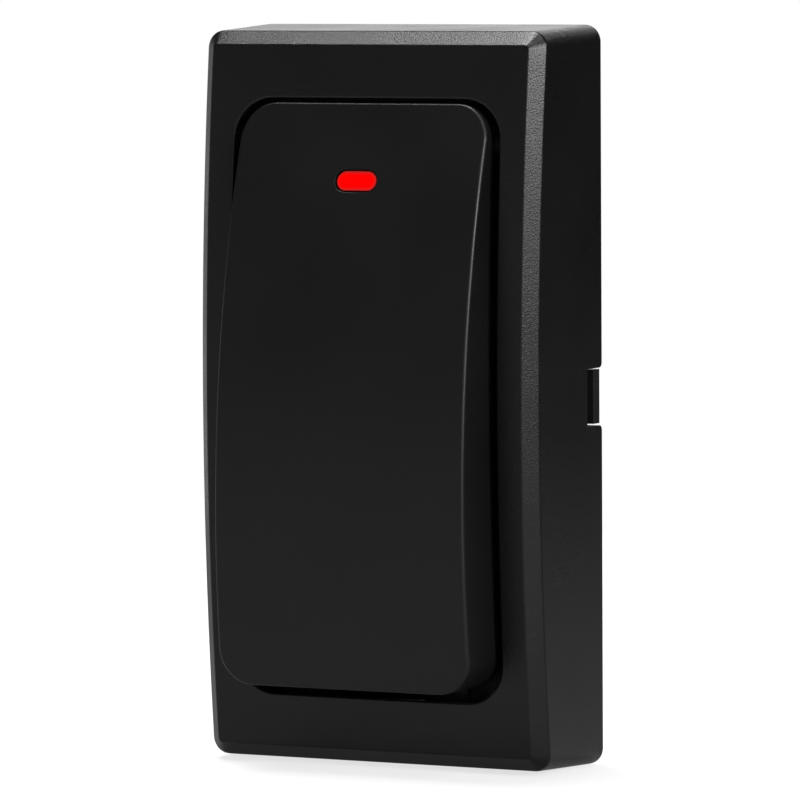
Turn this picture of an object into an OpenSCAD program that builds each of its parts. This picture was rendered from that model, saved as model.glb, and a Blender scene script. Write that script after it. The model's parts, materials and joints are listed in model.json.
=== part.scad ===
// Wireless doorbell push: a bowed and bevelled housing, a tall rocker button with a lit window,
// and behind it the board, switch, battery and transmitter that the button works.
// Millimetres. The origin is the middle of the face that lies on the wall, with X to the right,
// Z up and the front towards -Y. Each piece is drawn lying on its back, with height along Y and
// depth from the wall along Z, and upright() stands it on its lower end.

/* [Housing] */
// Width of the rear rim, at the wall
rim_w = 47.9; // [45:0.1:56]
// Height of the rear rim, at the wall
rim_h = 91.4; // [86:0.1:110]
// Depth from the wall to the front face at mid-height
front_d = 18.05; // [17:0.05:22]
// How far the bowed front falls back at its upper and lower ends
bow_sag = 2.6; // [1.5:0.1:3.2]
// Draft of the four sides, in degrees
draft = 2.46; // [0.5:0.01:3.5]
// Radius of the four corners at the rear rim
corner_r = 1.8; // [1.5:0.1:4]
// Width of the bevel, seen from the front
bevel_w = 1.6; // [0.8:0.1:2]
// Depth of the bevel
bevel_d = 1.8; // [0.8:0.1:2.2]
// Thickness of the side walls where they meet the bevel
wall = 1.9; // [1.4:0.1:2.4]
// Thickness of the front wall
front_wall = 2; // [1.4:0.1:2.4]
// Corner radius inside the housing
cavity_r = 1.2; // [0.6:0.1:2]

/* [Button opening] */
// Flat border at each side of the opening
border_side = 3.5; // [2.5:0.05:5]
// Flat border above and below the opening
border_end = 6.6; // [6:0.1:9]
// Corner radius of the opening
opening_r = 5; // [4.5:0.1:7]

/* [Rocker button] */
// Gap at each side of the button
gap_side = 0.85; // [0.6:0.05:1.4]
// Gap above the button
gap_top = 0.45; // [0.2:0.05:1]
// Gap below the button, which swings past it
gap_bottom = 1.6; // [1:0.05:2]
// How far the button's crown stands in front of the housing
crown_rise = 6.8; // [5:0.05:9]
// Height of the crown, from the middle of the housing
crown_h = -13.5; // [-22:0.5:-8]
// Radius of the button's bowed face
face_r = 151; // [120:1:220]
// Corner radius of the button
rocker_r = 4.5; // [3.5:0.1:6]
// Draft of the button's sides, in degrees
rocker_draft = 0.5; // [0.5:0.1:2.5]
// How far each long side closes in from the button's lower to its upper end
rocker_taper = 0.4; // [0:0.05:0.6]
// Chamfer along the button's long edges
rocker_edge = 0.5; // [0.2:0.05:0.6]
// Thickness of the button's shell
rocker_wall = 1.8; // [1.4:0.1:2.2]
// How far the button's skirt reaches behind the front face at the opening's ends
skirt_reach = 1.8; // [1:0.1:2.4]
// How far the button turns when it is pressed, in degrees
press_angle = 2; // [1:0.1:2]

/* [Hinge] */
// Hinge line below the button's upper edge
hinge_inset = 4.85; // [4:0.05:7]
// Radius of the two hinge pins
pin_r = 1.2; // [0.8:0.05:1.4]
// Running clearance round a hinge pin
pin_clear = 0.05; // [0.02:0.01:0.1]
// Radius of the bosses that carry the pins
hinge_boss_r = 2; // [1.8:0.1:2.4]
// Play between a boss and its bearing ear
side_play = 0.15; // [0.1:0.05:0.3]
// Height of a bearing ear, across the pin
ear_h = 6; // [5:0.1:8]
// Width of the mouth that a pin snaps in through
ear_mouth = 1.9; // [1.4:0.1:2]
// Room between the bosses and the inner frame
hinge_room = 0.3; // [0.2:0.05:0.5]
// Gap between a pin's end and the housing's side wall
pin_gap = 0.3; // [0.2:0.05:0.5]
// How far the cheeks stay inside the button's side
cheek_inset = 0.1; // [0.05:0.05:0.2]

/* [Stops] */
// How far the lugs at the button's lower end reach behind the front wall
lug_reach = 1.5; // [1:0.1:2]
// Gap between a lug and the front wall
lug_gap = 0.1; // [0.05:0.05:0.2]
// Thickness of the lugs
lug_t = 1.4; // [1:0.1:1.6]
// Width of the lugs
lug_w = 6; // [4:0.1:8]
// Middle of a lug and of a press stop from the button's side
lug_inset = 8.3; // [7.5:0.1:9.5]
// Room round the lugs in the inner frame
lug_room = 1; // [0.6:0.1:1.4]
// Press stops above the button's lower edge
stop_inset = 7.5; // [7:0.1:9]
// Gap between a press stop and the inner frame when the button is fully pressed
stop_gap = 0.05; // [0.02:0.01:0.1]
// Width of a press stop
stop_w = 4; // [3:0.1:5]
// Height of a press stop
stop_t = 1.6; // [1.2:0.1:2]

/* [Lit window] */
// Width of the window
window_w = 5.85; // [4:0.05:8]
// Height of the window
window_h = 2.8; // [2:0.05:3.4]
// Middle of the window below the top of the opening
window_drop = 9.9; // [9:0.05:11]
// How far the lens lies behind the button's face
lens_sunk = 0.14; // [0:0.02:0.3]
// Gap round the lens in its hole
lens_gap = 0.17; // [0.05:0.01:0.3]
// Fit of the lens's flange behind the button's shell
lens_fit = 0.03; // [0.02:0.01:0.06]
// Flange of the lens round the hole, inside the button
lens_flange = 0.9; // [0.6:0.1:1.4]
// How far the lens reaches behind the button's shell
lens_depth = 1.8; // [1.2:0.1:2.2]
// Length of the lens behind its flange
lens_tip = 0.5; // [0.3:0.1:0.8]
// Gap between the lamp and the lens
led_gap = 0.9; // [0.5:0.1:1.4]
// Length of the lamp, along the window
led_w = 5; // [4:0.1:6]
// Width of the lamp, across the window
led_h = 2; // [1.6:0.1:2.6]
// Brim round the lamp's foot
led_brim = 0.3; // [0.2:0.05:0.5]
// Height of the brim
led_brim_h = 0.8; // [0.6:0.1:1.2]
// Room round the brim in the inner frame
led_room = 0.4; // [0.3:0.1:0.6]

/* [Back plate] */
// Thickness of the back plate
plate_t = 2.2; // [1.8:0.1:2.8]
// Clearance between the plate and the housing
plate_clear = 0.25; // [0.2:0.05:0.4]
// Height of the rim that locates the housing on the plate
locator_h = 3.8; // [3.4:0.1:4.6]
// Thickness of the locating rim
locator_t = 1.5; // [1.4:0.1:2]
// Rise of the grip beads on the locating rim
bead_rise = 0.2; // [0.1:0.02:0.2]
// Length of a grip bead
bead_l = 8; // [5:0.5:12]
// Radius of a grip bead
bead_r = 0.6; // [0.5:0.05:0.8]
// Middle of a grip bead above the plate
bead_lift = 0.9; // [0.8:0.05:1]
// Distance between the two wall screws
screw_pitch = 60; // [50:1:66]
// Diameter of the wall screw holes
screw_hole_d = 4.2; // [3.5:0.1:5]
// Diameter of the countersinks
screw_sink_d = 7.6; // [6:0.1:9]
// Depth of the countersinks
screw_sink = 1; // [0.6:0.1:1.2]

/* [Seal] */
// Width of the rubber seal, across the locating rim
seal_w = 0.9; // [0.8:0.05:1]
// Height of the rubber seal
seal_h = 1; // [0.8:0.1:1.2]
// Gap between the seal and the housing
seal_gap = 0.1; // [0.05:0.01:0.15]
// Clearance of the seal in its groove
seal_fit = 0.02; // [0.01:0.01:0.04]
// Seal below the top of the locating rim
seal_drop = 0.9; // [0.7:0.1:1]

/* [Prising notch] */
// Height of the notch in each side of the housing
notch_h = 7.1; // [6:0.1:10]
// Depth of the notch from the rear rim
notch_d = 3.8; // [3.2:0.05:4.5]
// Radius of the lips where the notch meets the rear rim
notch_lip = 0.75; // [0.3:0.05:1]
// Thickness of the plate's tab in its notch
tab_t = 1.75; // [1.5:0.05:2.2]
// Slit above and below the tab
tab_slit = 0.2; // [0.2:0.02:0.8]
// How far the tab stays back from the housing's side
tab_inset = 0.36; // [0.2:0.02:0.8]
// How far the tab's root, which fills the notch, stands out of the plate
tab_root = 1.2; // [0.6:0.05:1.6]
// Clearance of the root in the notch
root_fit = 0.1; // [0.05:0.01:0.2]

/* [Board and frame] */
// Thickness of the circuit board
board_t = 1.6; // [1:0.1:1.8]
// Border between the board and the housing's side walls
board_side = 3.3; // [2.5:0.1:4.5]
// Corner radius of the board
board_r = 1.5; // [0.5:0.1:2.5]
// Board's upper edge below the top of the opening
board_top_inset = 1; // [0.5:0.1:2]
// Board's lower edge above the bottom of the opening
board_bottom_inset = 8; // [7.5:0.1:9]
// Thickness of the inner frame
frame_t = 1.4; // [1.2:0.1:2]
// Clearance between the inner frame and the housing
frame_clear = 0.3; // [0.2:0.05:0.5]
// Radius of the screw bosses
boss_r = 2.3; // [2:0.1:2.6]
// Boss centres from the inside of the housing's side walls
boss_inset = 4.85; // [4.4:0.05:6]
// Radius of the pilot holes and screw shanks
pilot_r = 1; // [0.8:0.05:1.1]
// Clearance of a screw shank in its pilot hole
thread_clear = 0.04; // [0.02:0.01:0.08]
// Radius of the screw heads
head_r = 1.9; // [1.7:0.1:2.2]
// Height of the screw heads
head_h = 1.2; // [1:0.1:1.4]
// Length of a screw in its boss
screw_grip = 2.6; // [2:0.1:3]
// Depth of a pilot hole beyond the end of its screw
pilot_room = 0.6; // [0.4:0.1:0.8]
// Length of the cross in a screw head
cross_l = 2.66; // [2.2:0.02:2.8]
// Width of the cross in a screw head
cross_w = 0.57; // [0.4:0.01:0.7]
// Board screws from the board's side edges
board_screw_inset = 6; // [5:0.1:7]
// Height of the board screws, from the middle of the housing
board_screw_h = 7.5; // [5:0.1:9]

/* [Switch] */
// Hinge line to switch, which sets the switch's travel
switch_lever = 10.5; // [9.5:0.1:11.5]
// Side of the square switch
switch_w = 6; // [5:0.1:6.5]
// Height of the switch's base
switch_base_h = 3; // [2.6:0.1:3.4]
// Thickness of the switch's metal cover
switch_cover_t = 0.3; // [0.2:0.05:0.4]
// Height of the plunger above the metal cover
plunger_rise = 1.5; // [1:0.1:2]
// Radius of the plunger
plunger_r = 1.7; // [1.4:0.05:1.8]
// Gap between the button's post and the plunger
post_gap = 0.08; // [0.05:0.01:0.15]
// Corner radius of the switch
switch_corner = 0.4; // [0.2:0.1:0.8]
// Room round the switch in the inner frame
switch_room = 0.6; // [0.4:0.1:0.8]
// Depth of the well for the dome
well_depth = 1.4; // [1.2:0.1:1.6]
// Room round the plunger in the well
well_room = 0.6; // [0.5:0.05:0.7]
// Height of the snap dome
dome_rise = 0.5; // [0.4:0.05:0.6]
// Thickness of the snap dome
dome_t = 0.1; // [0.08:0.01:0.14]
// Gap round the dome in the well
dome_gap = 0.15; // [0.1:0.05:0.2]
// Running clearance of the plunger in the metal cover
plunger_run = 0.08; // [0.05:0.01:0.12]
// Flange that keeps the plunger in the switch
plunger_flange = 0.35; // [0.2:0.05:0.45]
// Play of the plunger between dome and cover
plunger_play = 0.05; // [0.03:0.01:0.08]

/* [Return spring] */
// Outside diameter of the spring
spring_d = 6; // [5:0.1:7]
// Diameter of the spring's wire
spring_wire = 0.5; // [0.4:0.05:0.7]
// Number of coils
spring_turns = 7; // [5:1:9]
// Gap at each end of the spring
spring_seat = 0.05; // [0.03:0.01:0.1]
// Room between the spring and its spigot or cup
spring_room = 0.3; // [0.2:0.05:0.5]
// Height of the spigot on the inner frame
spigot_h = 3; // [2:0.1:4]
// Depth of the cup in the button
cup_h = 2.5; // [1.5:0.1:3.5]
// Wall of the cup
cup_wall = 1; // [0.8:0.1:1.4]

/* [Battery] */
// Diameter of the coin cell
cell_d = 20; // [16:0.1:23]
// Thickness of the coin cell
cell_t = 3.2; // [2:0.1:3.4]
// Clearance round the cell in its holder
cell_fit = 0.25; // [0.15:0.05:0.4]
// Wall of the holder
holder_wall = 1.2; // [1:0.1:1.6]
// Floor of the holder
holder_floor = 0.6; // [0.5:0.1:1]
// Thickness of the spring contacts
contact_t = 0.3; // [0.2:0.05:0.4]
// Width of the contacts
contact_w = 5; // [4:0.1:6]
// Room between the positive clip and the back plate
cell_room = 1.4; // [1.2:0.1:2.5]
// Holder above the board's lower edge
cell_inset = 5; // [4:0.1:6]
// Step in radius from the cell's can to its negative cap
cap_inset = 1.2; // [0.8:0.1:1.6]
// Height of the negative cap
cap_rise = 0.4; // [0.3:0.05:0.6]
// Room beside the contact in the holder's slot
contact_room = 0.3; // [0.2:0.05:0.6]
// Gap between the holder and the negative contact's tail
tail_gap = 0.8; // [0.5:0.1:1.2]
// Gap between the holder and the clip's legs
clip_gap = 0.15; // [0.1:0.05:0.3]
// Length of the clip's feet
clip_foot = 1.6; // [1.2:0.1:2]

/* [Transmitter parts] */
// Middle of the upper row below the board's upper edge
upper_row_drop = 7; // [6.5:0.1:8]
// Middle of the lower row below the upper row
lower_row_drop = 10; // [9:0.1:10.5]
// Body of the chip: width, height and thickness
chip_size = [3.9, 4.9, 1.4];
// Leads at each side of the chip
chip_leads = 4; // [3:1:4]
// Distance between the chip's leads
chip_lead_pitch = 1.27; // [1:0.01:1.3]
// Middle of the chip from the board's left edge
chip_inset = 9; // [8:0.1:10]
// Gap between a chip body and the board
chip_lift = 0.1; // [0.05:0.05:0.2]
// Width of a lead
lead_w = 0.4; // [0.3:0.05:0.5]
// Length of a lead
lead_l = 1; // [0.9:0.05:1.2]
// Height of a lead
lead_h = 0.7; // [0.5:0.05:0.8]
// Body of the transistor: width, height and thickness
transistor_size = [1.3, 2.9, 1];
// Distance between the transistor's paired leads
transistor_lead_pitch = 1.9; // [1.8:0.05:2]
// Middle of the transistor from the centre line
transistor_x = 2; // [1:0.1:3]
// Transistor below the upper row
transistor_drop = 4.5; // [4:0.1:5]
// Radius of the resonator's can
can_r = 4; // [3.5:0.1:4.3]
// Height of the resonator's can
can_h = 2.8; // [2.4:0.1:3]
// Width of the can's flange
can_flange_w = 0.6; // [0.4:0.05:0.8]
// Height of the can's flange
can_flange_h = 0.5; // [0.4:0.05:0.8]
// Middle of the can from the board's right edge
can_inset = 8; // [7:0.1:9]
// Radius of the antenna coil, to the middle of its wire
coil_r = 1.9; // [1.6:0.1:2]
// Diameter of the coil's wire
coil_wire = 0.6; // [0.5:0.05:0.7]
// Turns of the coil
coil_turns = 7; // [5:1:8]
// Distance between the coil's turns
coil_pitch = 1.3; // [1.2:0.05:1.4]
// Middle of the coil from the board's left edge
coil_inset = 7; // [6.8:0.1:8]
// Gap between the coil and the board
coil_gap = 0.05; // [0.03:0.01:0.1]
// Radius of the can capacitor
capacitor_r = 2; // [1.6:0.1:2.1]
// Height of the can capacitor
capacitor_h = 3.6; // [3:0.1:3.8]
// Side of the capacitor's square foot
capacitor_foot_w = 4.3; // [4.2:0.05:4.6]
// Height of the capacitor's foot
capacitor_foot_h = 0.5; // [0.4:0.05:0.8]
// Middle of the capacitor from the board's right edge
capacitor_inset = 6; // [5:0.1:6.5]
// Body of the small chip parts: width, height and thickness
small_size = [1.6, 0.8, 0.5];
// Distance between the small chip parts
small_pitch = 2; // [1.6:0.05:2.2]
// Number of small chip parts in each row
small_count = 4; // [3:1:4]
// Row of ceramic capacitors from the centre line
small_capacitor_x = 5; // [4.5:0.1:5.5]
// Row of resistors from the centre line
small_resistor_x = -3; // [-3.5:0.1:-2.5]

/* [Hidden] */

$fn = 64;
// Facets of the two large bows, which are nearly flat
bow_fn = 720;
// Overlap that joins solids, and overrun that clears a cut
join = 0.5;
over = 1;
// Sides of a coil's wire, and rings for each of its turns
coil_sides = 6;
coil_steps = 12;

// Housing: sizes at the bevel's outer edge, the flat face and the inside
draft_run = tan(draft);
edge_d = front_d - bevel_d;
body_w = rim_w - 2 * edge_d * draft_run;
body_h = rim_h - 2 * edge_d * draft_run;
face_w = body_w - 2 * bevel_w;
face_h = body_h - 2 * bevel_w;
bow_r = (pow(body_h / 2, 2) + pow(bow_sag, 2)) / (2 * bow_sag);
bow_axis_d = front_d - bow_r;
cavity_w = body_w - 2 * wall;
cavity_h = body_h - 2 * wall;
opening_w = face_w - 2 * border_side;
opening_h = face_h - 2 * border_end;

// Depth of the housing's front, and of the inside of its front wall, at height h
function front_at(h) = bow_axis_d + sqrt(pow(bow_r, 2) - pow(h, 2));
function inside_at(h) = bow_axis_d + sqrt(pow(bow_r - front_wall, 2) - pow(h, 2));

// Rocker: outline, crown and skirt
rocker_w = opening_w - 2 * gap_side;
rocker_top = opening_h / 2 - gap_top;
rocker_bottom = gap_bottom - opening_h / 2;
rocker_h = rocker_top - rocker_bottom;
rocker_mid = (rocker_top + rocker_bottom) / 2;
crown_d = front_d + crown_rise;
face_axis_d = crown_d - face_r;
skirt_d = front_at(rocker_bottom) - skirt_reach;

// Depth of the rocker's face at height h
function face_at(h) = face_axis_d + sqrt(pow(face_r, 2) - pow(h - crown_h, 2));

// Depths of the stack from the wall: plate, battery, board, inner frame
clip_d = plate_t + cell_room;
cell_rear = clip_d + contact_t;
cell_front = cell_rear + cell_t;
board_rear = cell_front + contact_t + holder_floor;
board_front = board_rear + board_t;
frame_front = board_front + frame_t;

// Hinge
hinge_h = rocker_top - hinge_inset;
hinge_d = frame_front + hinge_room + hinge_boss_r;
bore_r = pin_r + pin_clear;
ear_x = opening_w / 2;
pin_end_x = cavity_w / 2 - pin_gap;

// Stops: lugs behind the front wall hold the button in, ribs end its press
lug_x = rocker_w / 2 - lug_inset;
lug_end = opening_h / 2 + lug_reach;
lug_top = inside_at(lug_end) - lug_gap;
stop_h = rocker_bottom + stop_inset;
stop_tip = frame_front + (hinge_h - stop_h) * sin(press_angle) + stop_gap;

// Window, lens and lamp
window_z = opening_h / 2 - window_drop;
lens_rear = face_at(window_z) - rocker_wall - lens_depth;
led_top = lens_rear - led_gap;
led_foot = [led_w + 2 * led_brim, led_h + 2 * led_brim, led_brim_h];

// Back plate and seal
plate_w = cavity_w - 2 * plate_clear;
plate_h = cavity_h - 2 * plate_clear;
plate_r = cavity_r - plate_clear;
locator_top = plate_t + locator_h;
seal_top = locator_top - seal_drop;
seal_rear = seal_top - seal_h;
seal_out = plate_clear - seal_gap;
bead_d = plate_t + bead_lift;
bead_x = plate_w / 4;

// Board and the bosses that hold the inner frame
board_w = cavity_w - 2 * board_side;
board_top = opening_h / 2 - board_top_inset;
board_bottom = board_bottom_inset - opening_h / 2;
board_screw_x = board_w / 2 - board_screw_inset;
boss_x = cavity_w / 2 - boss_inset;
boss_h = (opening_h + cavity_h) / 4;
frame_w = cavity_w - 2 * frame_clear;
frame_h = cavity_h - 2 * frame_clear;
board_boss_h = screw_grip + pilot_room;

// Switch
switch_h = hinge_h - switch_lever;
switch_top = board_front + switch_base_h + switch_cover_t;
plunger_top = switch_top + plunger_rise;
post_tip = plunger_top + post_gap;
post_r = plunger_r;
well_r = plunger_r + well_room;
well_d = board_front + switch_base_h - well_depth;
dome_fn = 160;
plunger_rear = well_d + dome_rise + plunger_play;

// Return spring, between the inner frame and the rocker's crown
spring_r = (spring_d - spring_wire) / 2;
spring_top = crown_d - rocker_wall;
spigot_r = spring_r - spring_wire / 2 - spring_room;
cup_r = spring_d / 2 + spring_room;

// Battery
cell_r = cell_d / 2;
holder_r = cell_r + cell_fit + holder_wall;
cell_h = board_bottom + holder_r + cell_inset;
clip_leg_x = holder_r + clip_gap;

// Transmitter parts on the rear of the board
upper_row = board_top - upper_row_drop;
lower_row = upper_row - lower_row_drop;
chip_x = chip_inset - board_w / 2;
can_x = board_w / 2 - can_inset;
coil_x = coil_inset - board_w / 2;
capacitor_foot = [capacitor_foot_w, capacitor_foot_w, capacitor_foot_h];
capacitor_x = board_w / 2 - capacitor_inset;

// Colours
shell_black = "#222222";
inner_black = "#2b2b2b";
seal_black = "#151515";
lens_red = "#ff1010";
board_green = "#1f5a36";
steel = "#b8b8bc";
brass = "#c8a860";
copper = "#b87333";
part_black = "#1c1c1e";
ceramic_tan = "#b79f7a";

// Stands a piece that lies on its back up on its lower end
module upright() {
    rotate([90, 0, 0]) children();
}

// Rectangle with round corners, centred
module round_rect(w, h, r) {
    square([w, h - 2 * r], center = true);
    square([w - 2 * r, h], center = true);
    for (x = [-1, 1], y = [-1, 1])
        translate([x * (w / 2 - r), y * (h / 2 - r)]) circle(r = r);
}

// Slot shape with round ends, lying along X
module stadium(w, h) {
    square([w - h, h], center = true);
    for (x = [-1, 1]) translate([x * (w - h) / 2, 0]) circle(d = h);
}

// Plate with round corners between two depths
module slab(w, h, r, rear, front) {
    translate([0, 0, rear]) linear_extrude(front - rear) round_rect(w, h, r);
}

// Prism along X of a profile drawn in height and depth
module along_x(length) {
    rotate([90, 0, 90]) linear_extrude(length, center = true) children();
}

// Block whose sides lean in by an angle and whose corners are cones, on the plane Z = 0
module drafted_block(w, h, depth, angle, r) {
    lean = depth * tan(angle);
    rotate([90, 0, 0]) linear_extrude(h - 2 * r, center = true)
        polygon([[-w / 2, 0], [w / 2, 0], [w / 2 - lean, depth], [lean - w / 2, depth]]);
    along_x(w - 2 * r)
        polygon([[-h / 2, 0], [h / 2, 0], [h / 2 - lean, depth], [lean - h / 2, depth]]);
    for (x = [-1, 1], y = [-1, 1])
        translate([x * (w / 2 - r), y * (h / 2 - r), 0])
            cylinder(h = depth, r1 = r, r2 = r - lean);
}

// Two rings about X that bevel the long edges of a bowed face of radius r and flat width flat_w
module edge_rings(r, flat_w, inset, drop) {
    flat = flat_w / 2;
    both_sides() rotate([0, 90, 0]) rotate_extrude($fn = bow_fn)
        polygon([[r - 2 * drop, flat + 2 * inset], [r + drop, flat - inset],
                 [r + drop, flat + 2 * inset]]);
}

// Cylinder about X that is concentric with the housing's front
module bow_cylinder(r) {
    translate([0, 0, bow_axis_d]) rotate([0, 90, 0])
        cylinder(r = r, h = 2 * rim_w, center = true, $fn = bow_fn);
}

// Cylinder about X that is concentric with the rocker's face
module face_cylinder(r) {
    translate([0, crown_h, face_axis_d]) rotate([0, 90, 0])
        cylinder(r = r, h = 2 * rim_w, center = true, $fn = bow_fn);
}

// Round pin along X between two places
module pin_x(r, from, to, h, d) {
    translate([from, h, d]) rotate([0, 90, 0]) cylinder(r = r, h = to - from);
}

// The two sides, the second one a mirror image
module both_sides() {
    children();
    mirror([1, 0, 0]) children();
}

// The four places of the inner frame's screws
module frame_screw_places() {
    for (x = [-1, 1], y = [-1, 1]) translate([x * boss_x, y * boss_h, 0]) children();
}

// The two places of the board's screws
module board_screw_places() {
    for (x = [-1, 1]) translate([x * board_screw_x, board_screw_h, 0]) children();
}

// Self-tapping screw with a crossed head, whose head lies against the plane Z = 0 from behind
module self_tapper(length) {
    recess = head_h / 2;
    difference() {
        union() {
            translate([0, 0, -head_h]) cylinder(r = head_r, h = head_h);
            translate([0, 0, -join]) cylinder(r = pilot_r - thread_clear, h = length + join);
        }
        for (turn = [0, 90]) rotate(turn)
            translate([0, 0, -head_h])
                cube([cross_l, cross_w, 2 * recess], center = true);
    }
}

// Points of a ring of wire at turn t of a coil about Z
function wire_ring(r, wire, rise, t) = [
    for (k = [0 : coil_sides - 1])
        let (a = 360 * k / coil_sides, out = r + wire / 2 * cos(a))
        [out * cos(360 * t), out * sin(360 * t), rise * t + wire / 2 * sin(a)]
];

// Open coil of wire about Z, one unbroken tube that starts at turn 0
module wire_coil(r, wire, turns, rise) {
    rings = round(turns * coil_steps);
    points = [for (i = [0 : rings]) each wire_ring(r, wire, rise, i / coil_steps)];
    sides = [
        for (i = [0 : rings - 1], k = [0 : coil_sides - 1])
            let (a = i * coil_sides + k, b = i * coil_sides + (k + 1) % coil_sides)
            each [[a, a + coil_sides, b], [b, a + coil_sides, b + coil_sides]]
    ];
    last = rings * coil_sides;
    caps = [
        for (k = [1 : coil_sides - 2])
            each [[0, k, k + 1], [last, last + k + 1, last + k]]
    ];
    polyhedron(points, concat(sides, caps));
}

// Plate that stays on the wall, with the rim that locates the housing and a tab at each side
module back_plate() {
    tab_h = notch_h - 2 * tab_slit;
    tab_x = rim_w / 2 - tab_inset;
    root_h = notch_h - 2 * root_fit;
    color(inner_black) upright() difference() {
        union() {
            slab(plate_w, plate_h, plate_r, 0, plate_t);
            difference() {
                slab(plate_w, plate_h, plate_r, plate_t - join, locator_top);
                slab(plate_w - 2 * locator_t, plate_h - 2 * locator_t, plate_r,
                     plate_t - 2 * join, locator_top + over);
            }
            both_sides() {
                translate([plate_w / 2 - join, -tab_h / 2, 0])
                    cube([tab_x - plate_w / 2 + join, tab_h, tab_t]);
                translate([plate_w / 2 - join, -root_h / 2, 0])
                    cube([tab_root + join, root_h, tab_t]);
            }
            for (x = [-1, 1], y = [-1, 1])
                translate([x * bead_x, y * (plate_h / 2 + bead_rise - bead_r), bead_d])
                    rotate([0, 90, 0]) cylinder(r = bead_r, h = bead_l, center = true);
        }
        difference() {
            slab(plate_w + over, plate_h + over, plate_r, seal_rear, seal_top);
            slab(plate_w - 2 * (seal_w - seal_out), plate_h - 2 * (seal_w - seal_out), plate_r,
                 seal_rear - over, seal_top + over);
        }
        for (y = [-1, 1]) translate([0, y * screw_pitch / 2, 0]) {
            translate([0, 0, -over]) cylinder(d = screw_hole_d, h = plate_t + 2 * over);
            translate([0, 0, plate_t - screw_sink])
                cylinder(d1 = screw_hole_d, d2 = screw_sink_d, h = screw_sink);
            translate([0, 0, plate_t]) cylinder(d = screw_sink_d, h = over);
        }
    }
}

// Rubber ring in the groove of the locating rim
module plate_seal() {
    seal_in = seal_w - seal_out - seal_fit;
    color(seal_black) upright() difference() {
        slab(plate_w + 2 * seal_out, plate_h + 2 * seal_out, plate_r + seal_out,
             seal_rear + seal_fit, seal_top - seal_fit);
        slab(plate_w - 2 * seal_in, plate_h - 2 * seal_in, plate_r, seal_rear, seal_top);
    }
}

// Wedge outside the bevel at the upper end of the housing
module end_bevel() {
    face_end = [face_h / 2, front_at(face_h / 2)];
    slope = [bevel_w, -bevel_d];
    along_x(rim_w + 2 * over)
        polygon([face_end - slope, face_end + 2 * slope, face_end + [2 * bevel_w, bevel_d]]);
}

// Outer form of the housing: drafted sides, bowed front and a bevel all round
module housing_form() {
    difference() {
        intersection() {
            drafted_block(rim_w, rim_h, front_d + over, draft, corner_r);
            bow_cylinder(bow_r);
        }
        translate([0, 0, bow_axis_d]) edge_rings(bow_r, face_w, bevel_w, bevel_d);
        end_bevel();
        mirror([0, 1, 0]) end_bevel();
    }
}

// Inside of the housing, up to its bowed front wall
module housing_cavity() {
    intersection() {
        slab(cavity_w, cavity_h, cavity_r, -over, front_d);
        bow_cylinder(bow_r - front_wall);
    }
}

// Bosses for the inner frame's screws and bearing ears for the hinge pins
module housing_supports() {
    intersection() {
        union() {
            frame_screw_places() translate([0, 0, frame_front])
                cylinder(r = boss_r, h = front_d - frame_front);
            both_sides() translate([ear_x, hinge_h - ear_h / 2, frame_front])
                cube([cavity_w / 2 + join - ear_x, ear_h, front_d - frame_front]);
        }
        bow_cylinder(bow_r - front_wall / 2);
    }
}

// Prising notch in height and depth, whose mouth is led out by round lips
module notch_profile() {
    translate([-notch_h / 2, -over]) square([notch_h, notch_d + over]);
    difference() {
        translate([-notch_h / 2 - notch_lip, -over])
            square([notch_h + 2 * notch_lip, notch_lip + over]);
        for (end = [-1, 1])
            translate([end * (notch_h / 2 + notch_lip), notch_lip]) circle(r = notch_lip);
    }
}

// Housing that carries the button, with its opening, prising notches and hinge bearings
module front_cover() {
    color(shell_black) upright() difference() {
        union() {
            difference() {
                housing_form();
                housing_cavity();
                slab(opening_w, opening_h, opening_r, frame_front, front_d + over);
                along_x(rim_w + 2 * over) notch_profile();
            }
            housing_supports();
        }
        frame_screw_places() translate([0, 0, frame_front - over])
            cylinder(r = pilot_r, h = over + screw_grip + pilot_room);
        both_sides() {
            pin_x(bore_r, ear_x - over, cavity_w / 2, hinge_h, hinge_d);
            translate([ear_x - over, hinge_h - ear_mouth / 2, frame_front - over])
                cube([cavity_w / 2 - ear_x + over, ear_mouth, hinge_d - frame_front + over]);
        }
    }
}

// Frame that closes the hinge bearings, seats the spring and carries the board behind it
module inner_frame() {
    lug_window_w = 2 * (lug_x + lug_w / 2 + lug_room);
    lug_window_low = -lug_end - lug_room;
    lug_window_high = rocker_bottom + rocker_wall + lug_room;
    switch_window = switch_w + 2 * switch_room;
    color(inner_black) upright() difference() {
        union() {
            slab(frame_w, frame_h, cavity_r, board_front, frame_front);
            board_screw_places() translate([0, 0, frame_front - join])
                cylinder(r = boss_r, h = board_boss_h + join);
            translate([0, crown_h, frame_front - join]) cylinder(r = spigot_r, h = spigot_h + join);
        }
        frame_screw_places() translate([0, 0, board_front - over])
            cylinder(r = pilot_r, h = frame_t + 2 * over);
        board_screw_places() translate([0, 0, board_front - over])
            cylinder(r = pilot_r, h = over + frame_t + board_boss_h + over);
        translate([-switch_window / 2, switch_h - switch_window / 2, board_front - over])
            cube([switch_window, switch_window, frame_t + 2 * over]);
        translate([-led_foot.x / 2 - led_room, window_z - led_foot.y / 2 - led_room,
                   board_front - over])
            cube([led_foot.x + 2 * led_room, led_foot.y + 2 * led_room, frame_t + 2 * over]);
        translate([-lug_window_w / 2, lug_window_low, board_front - over])
            cube([lug_window_w, lug_window_high - lug_window_low, frame_t + 2 * over]);
    }
}

// Four screws that hold the inner frame to the housing
module frame_screws() {
    color(steel) upright() frame_screw_places() translate([0, 0, board_front])
        self_tapper(frame_t + screw_grip);
}

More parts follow.
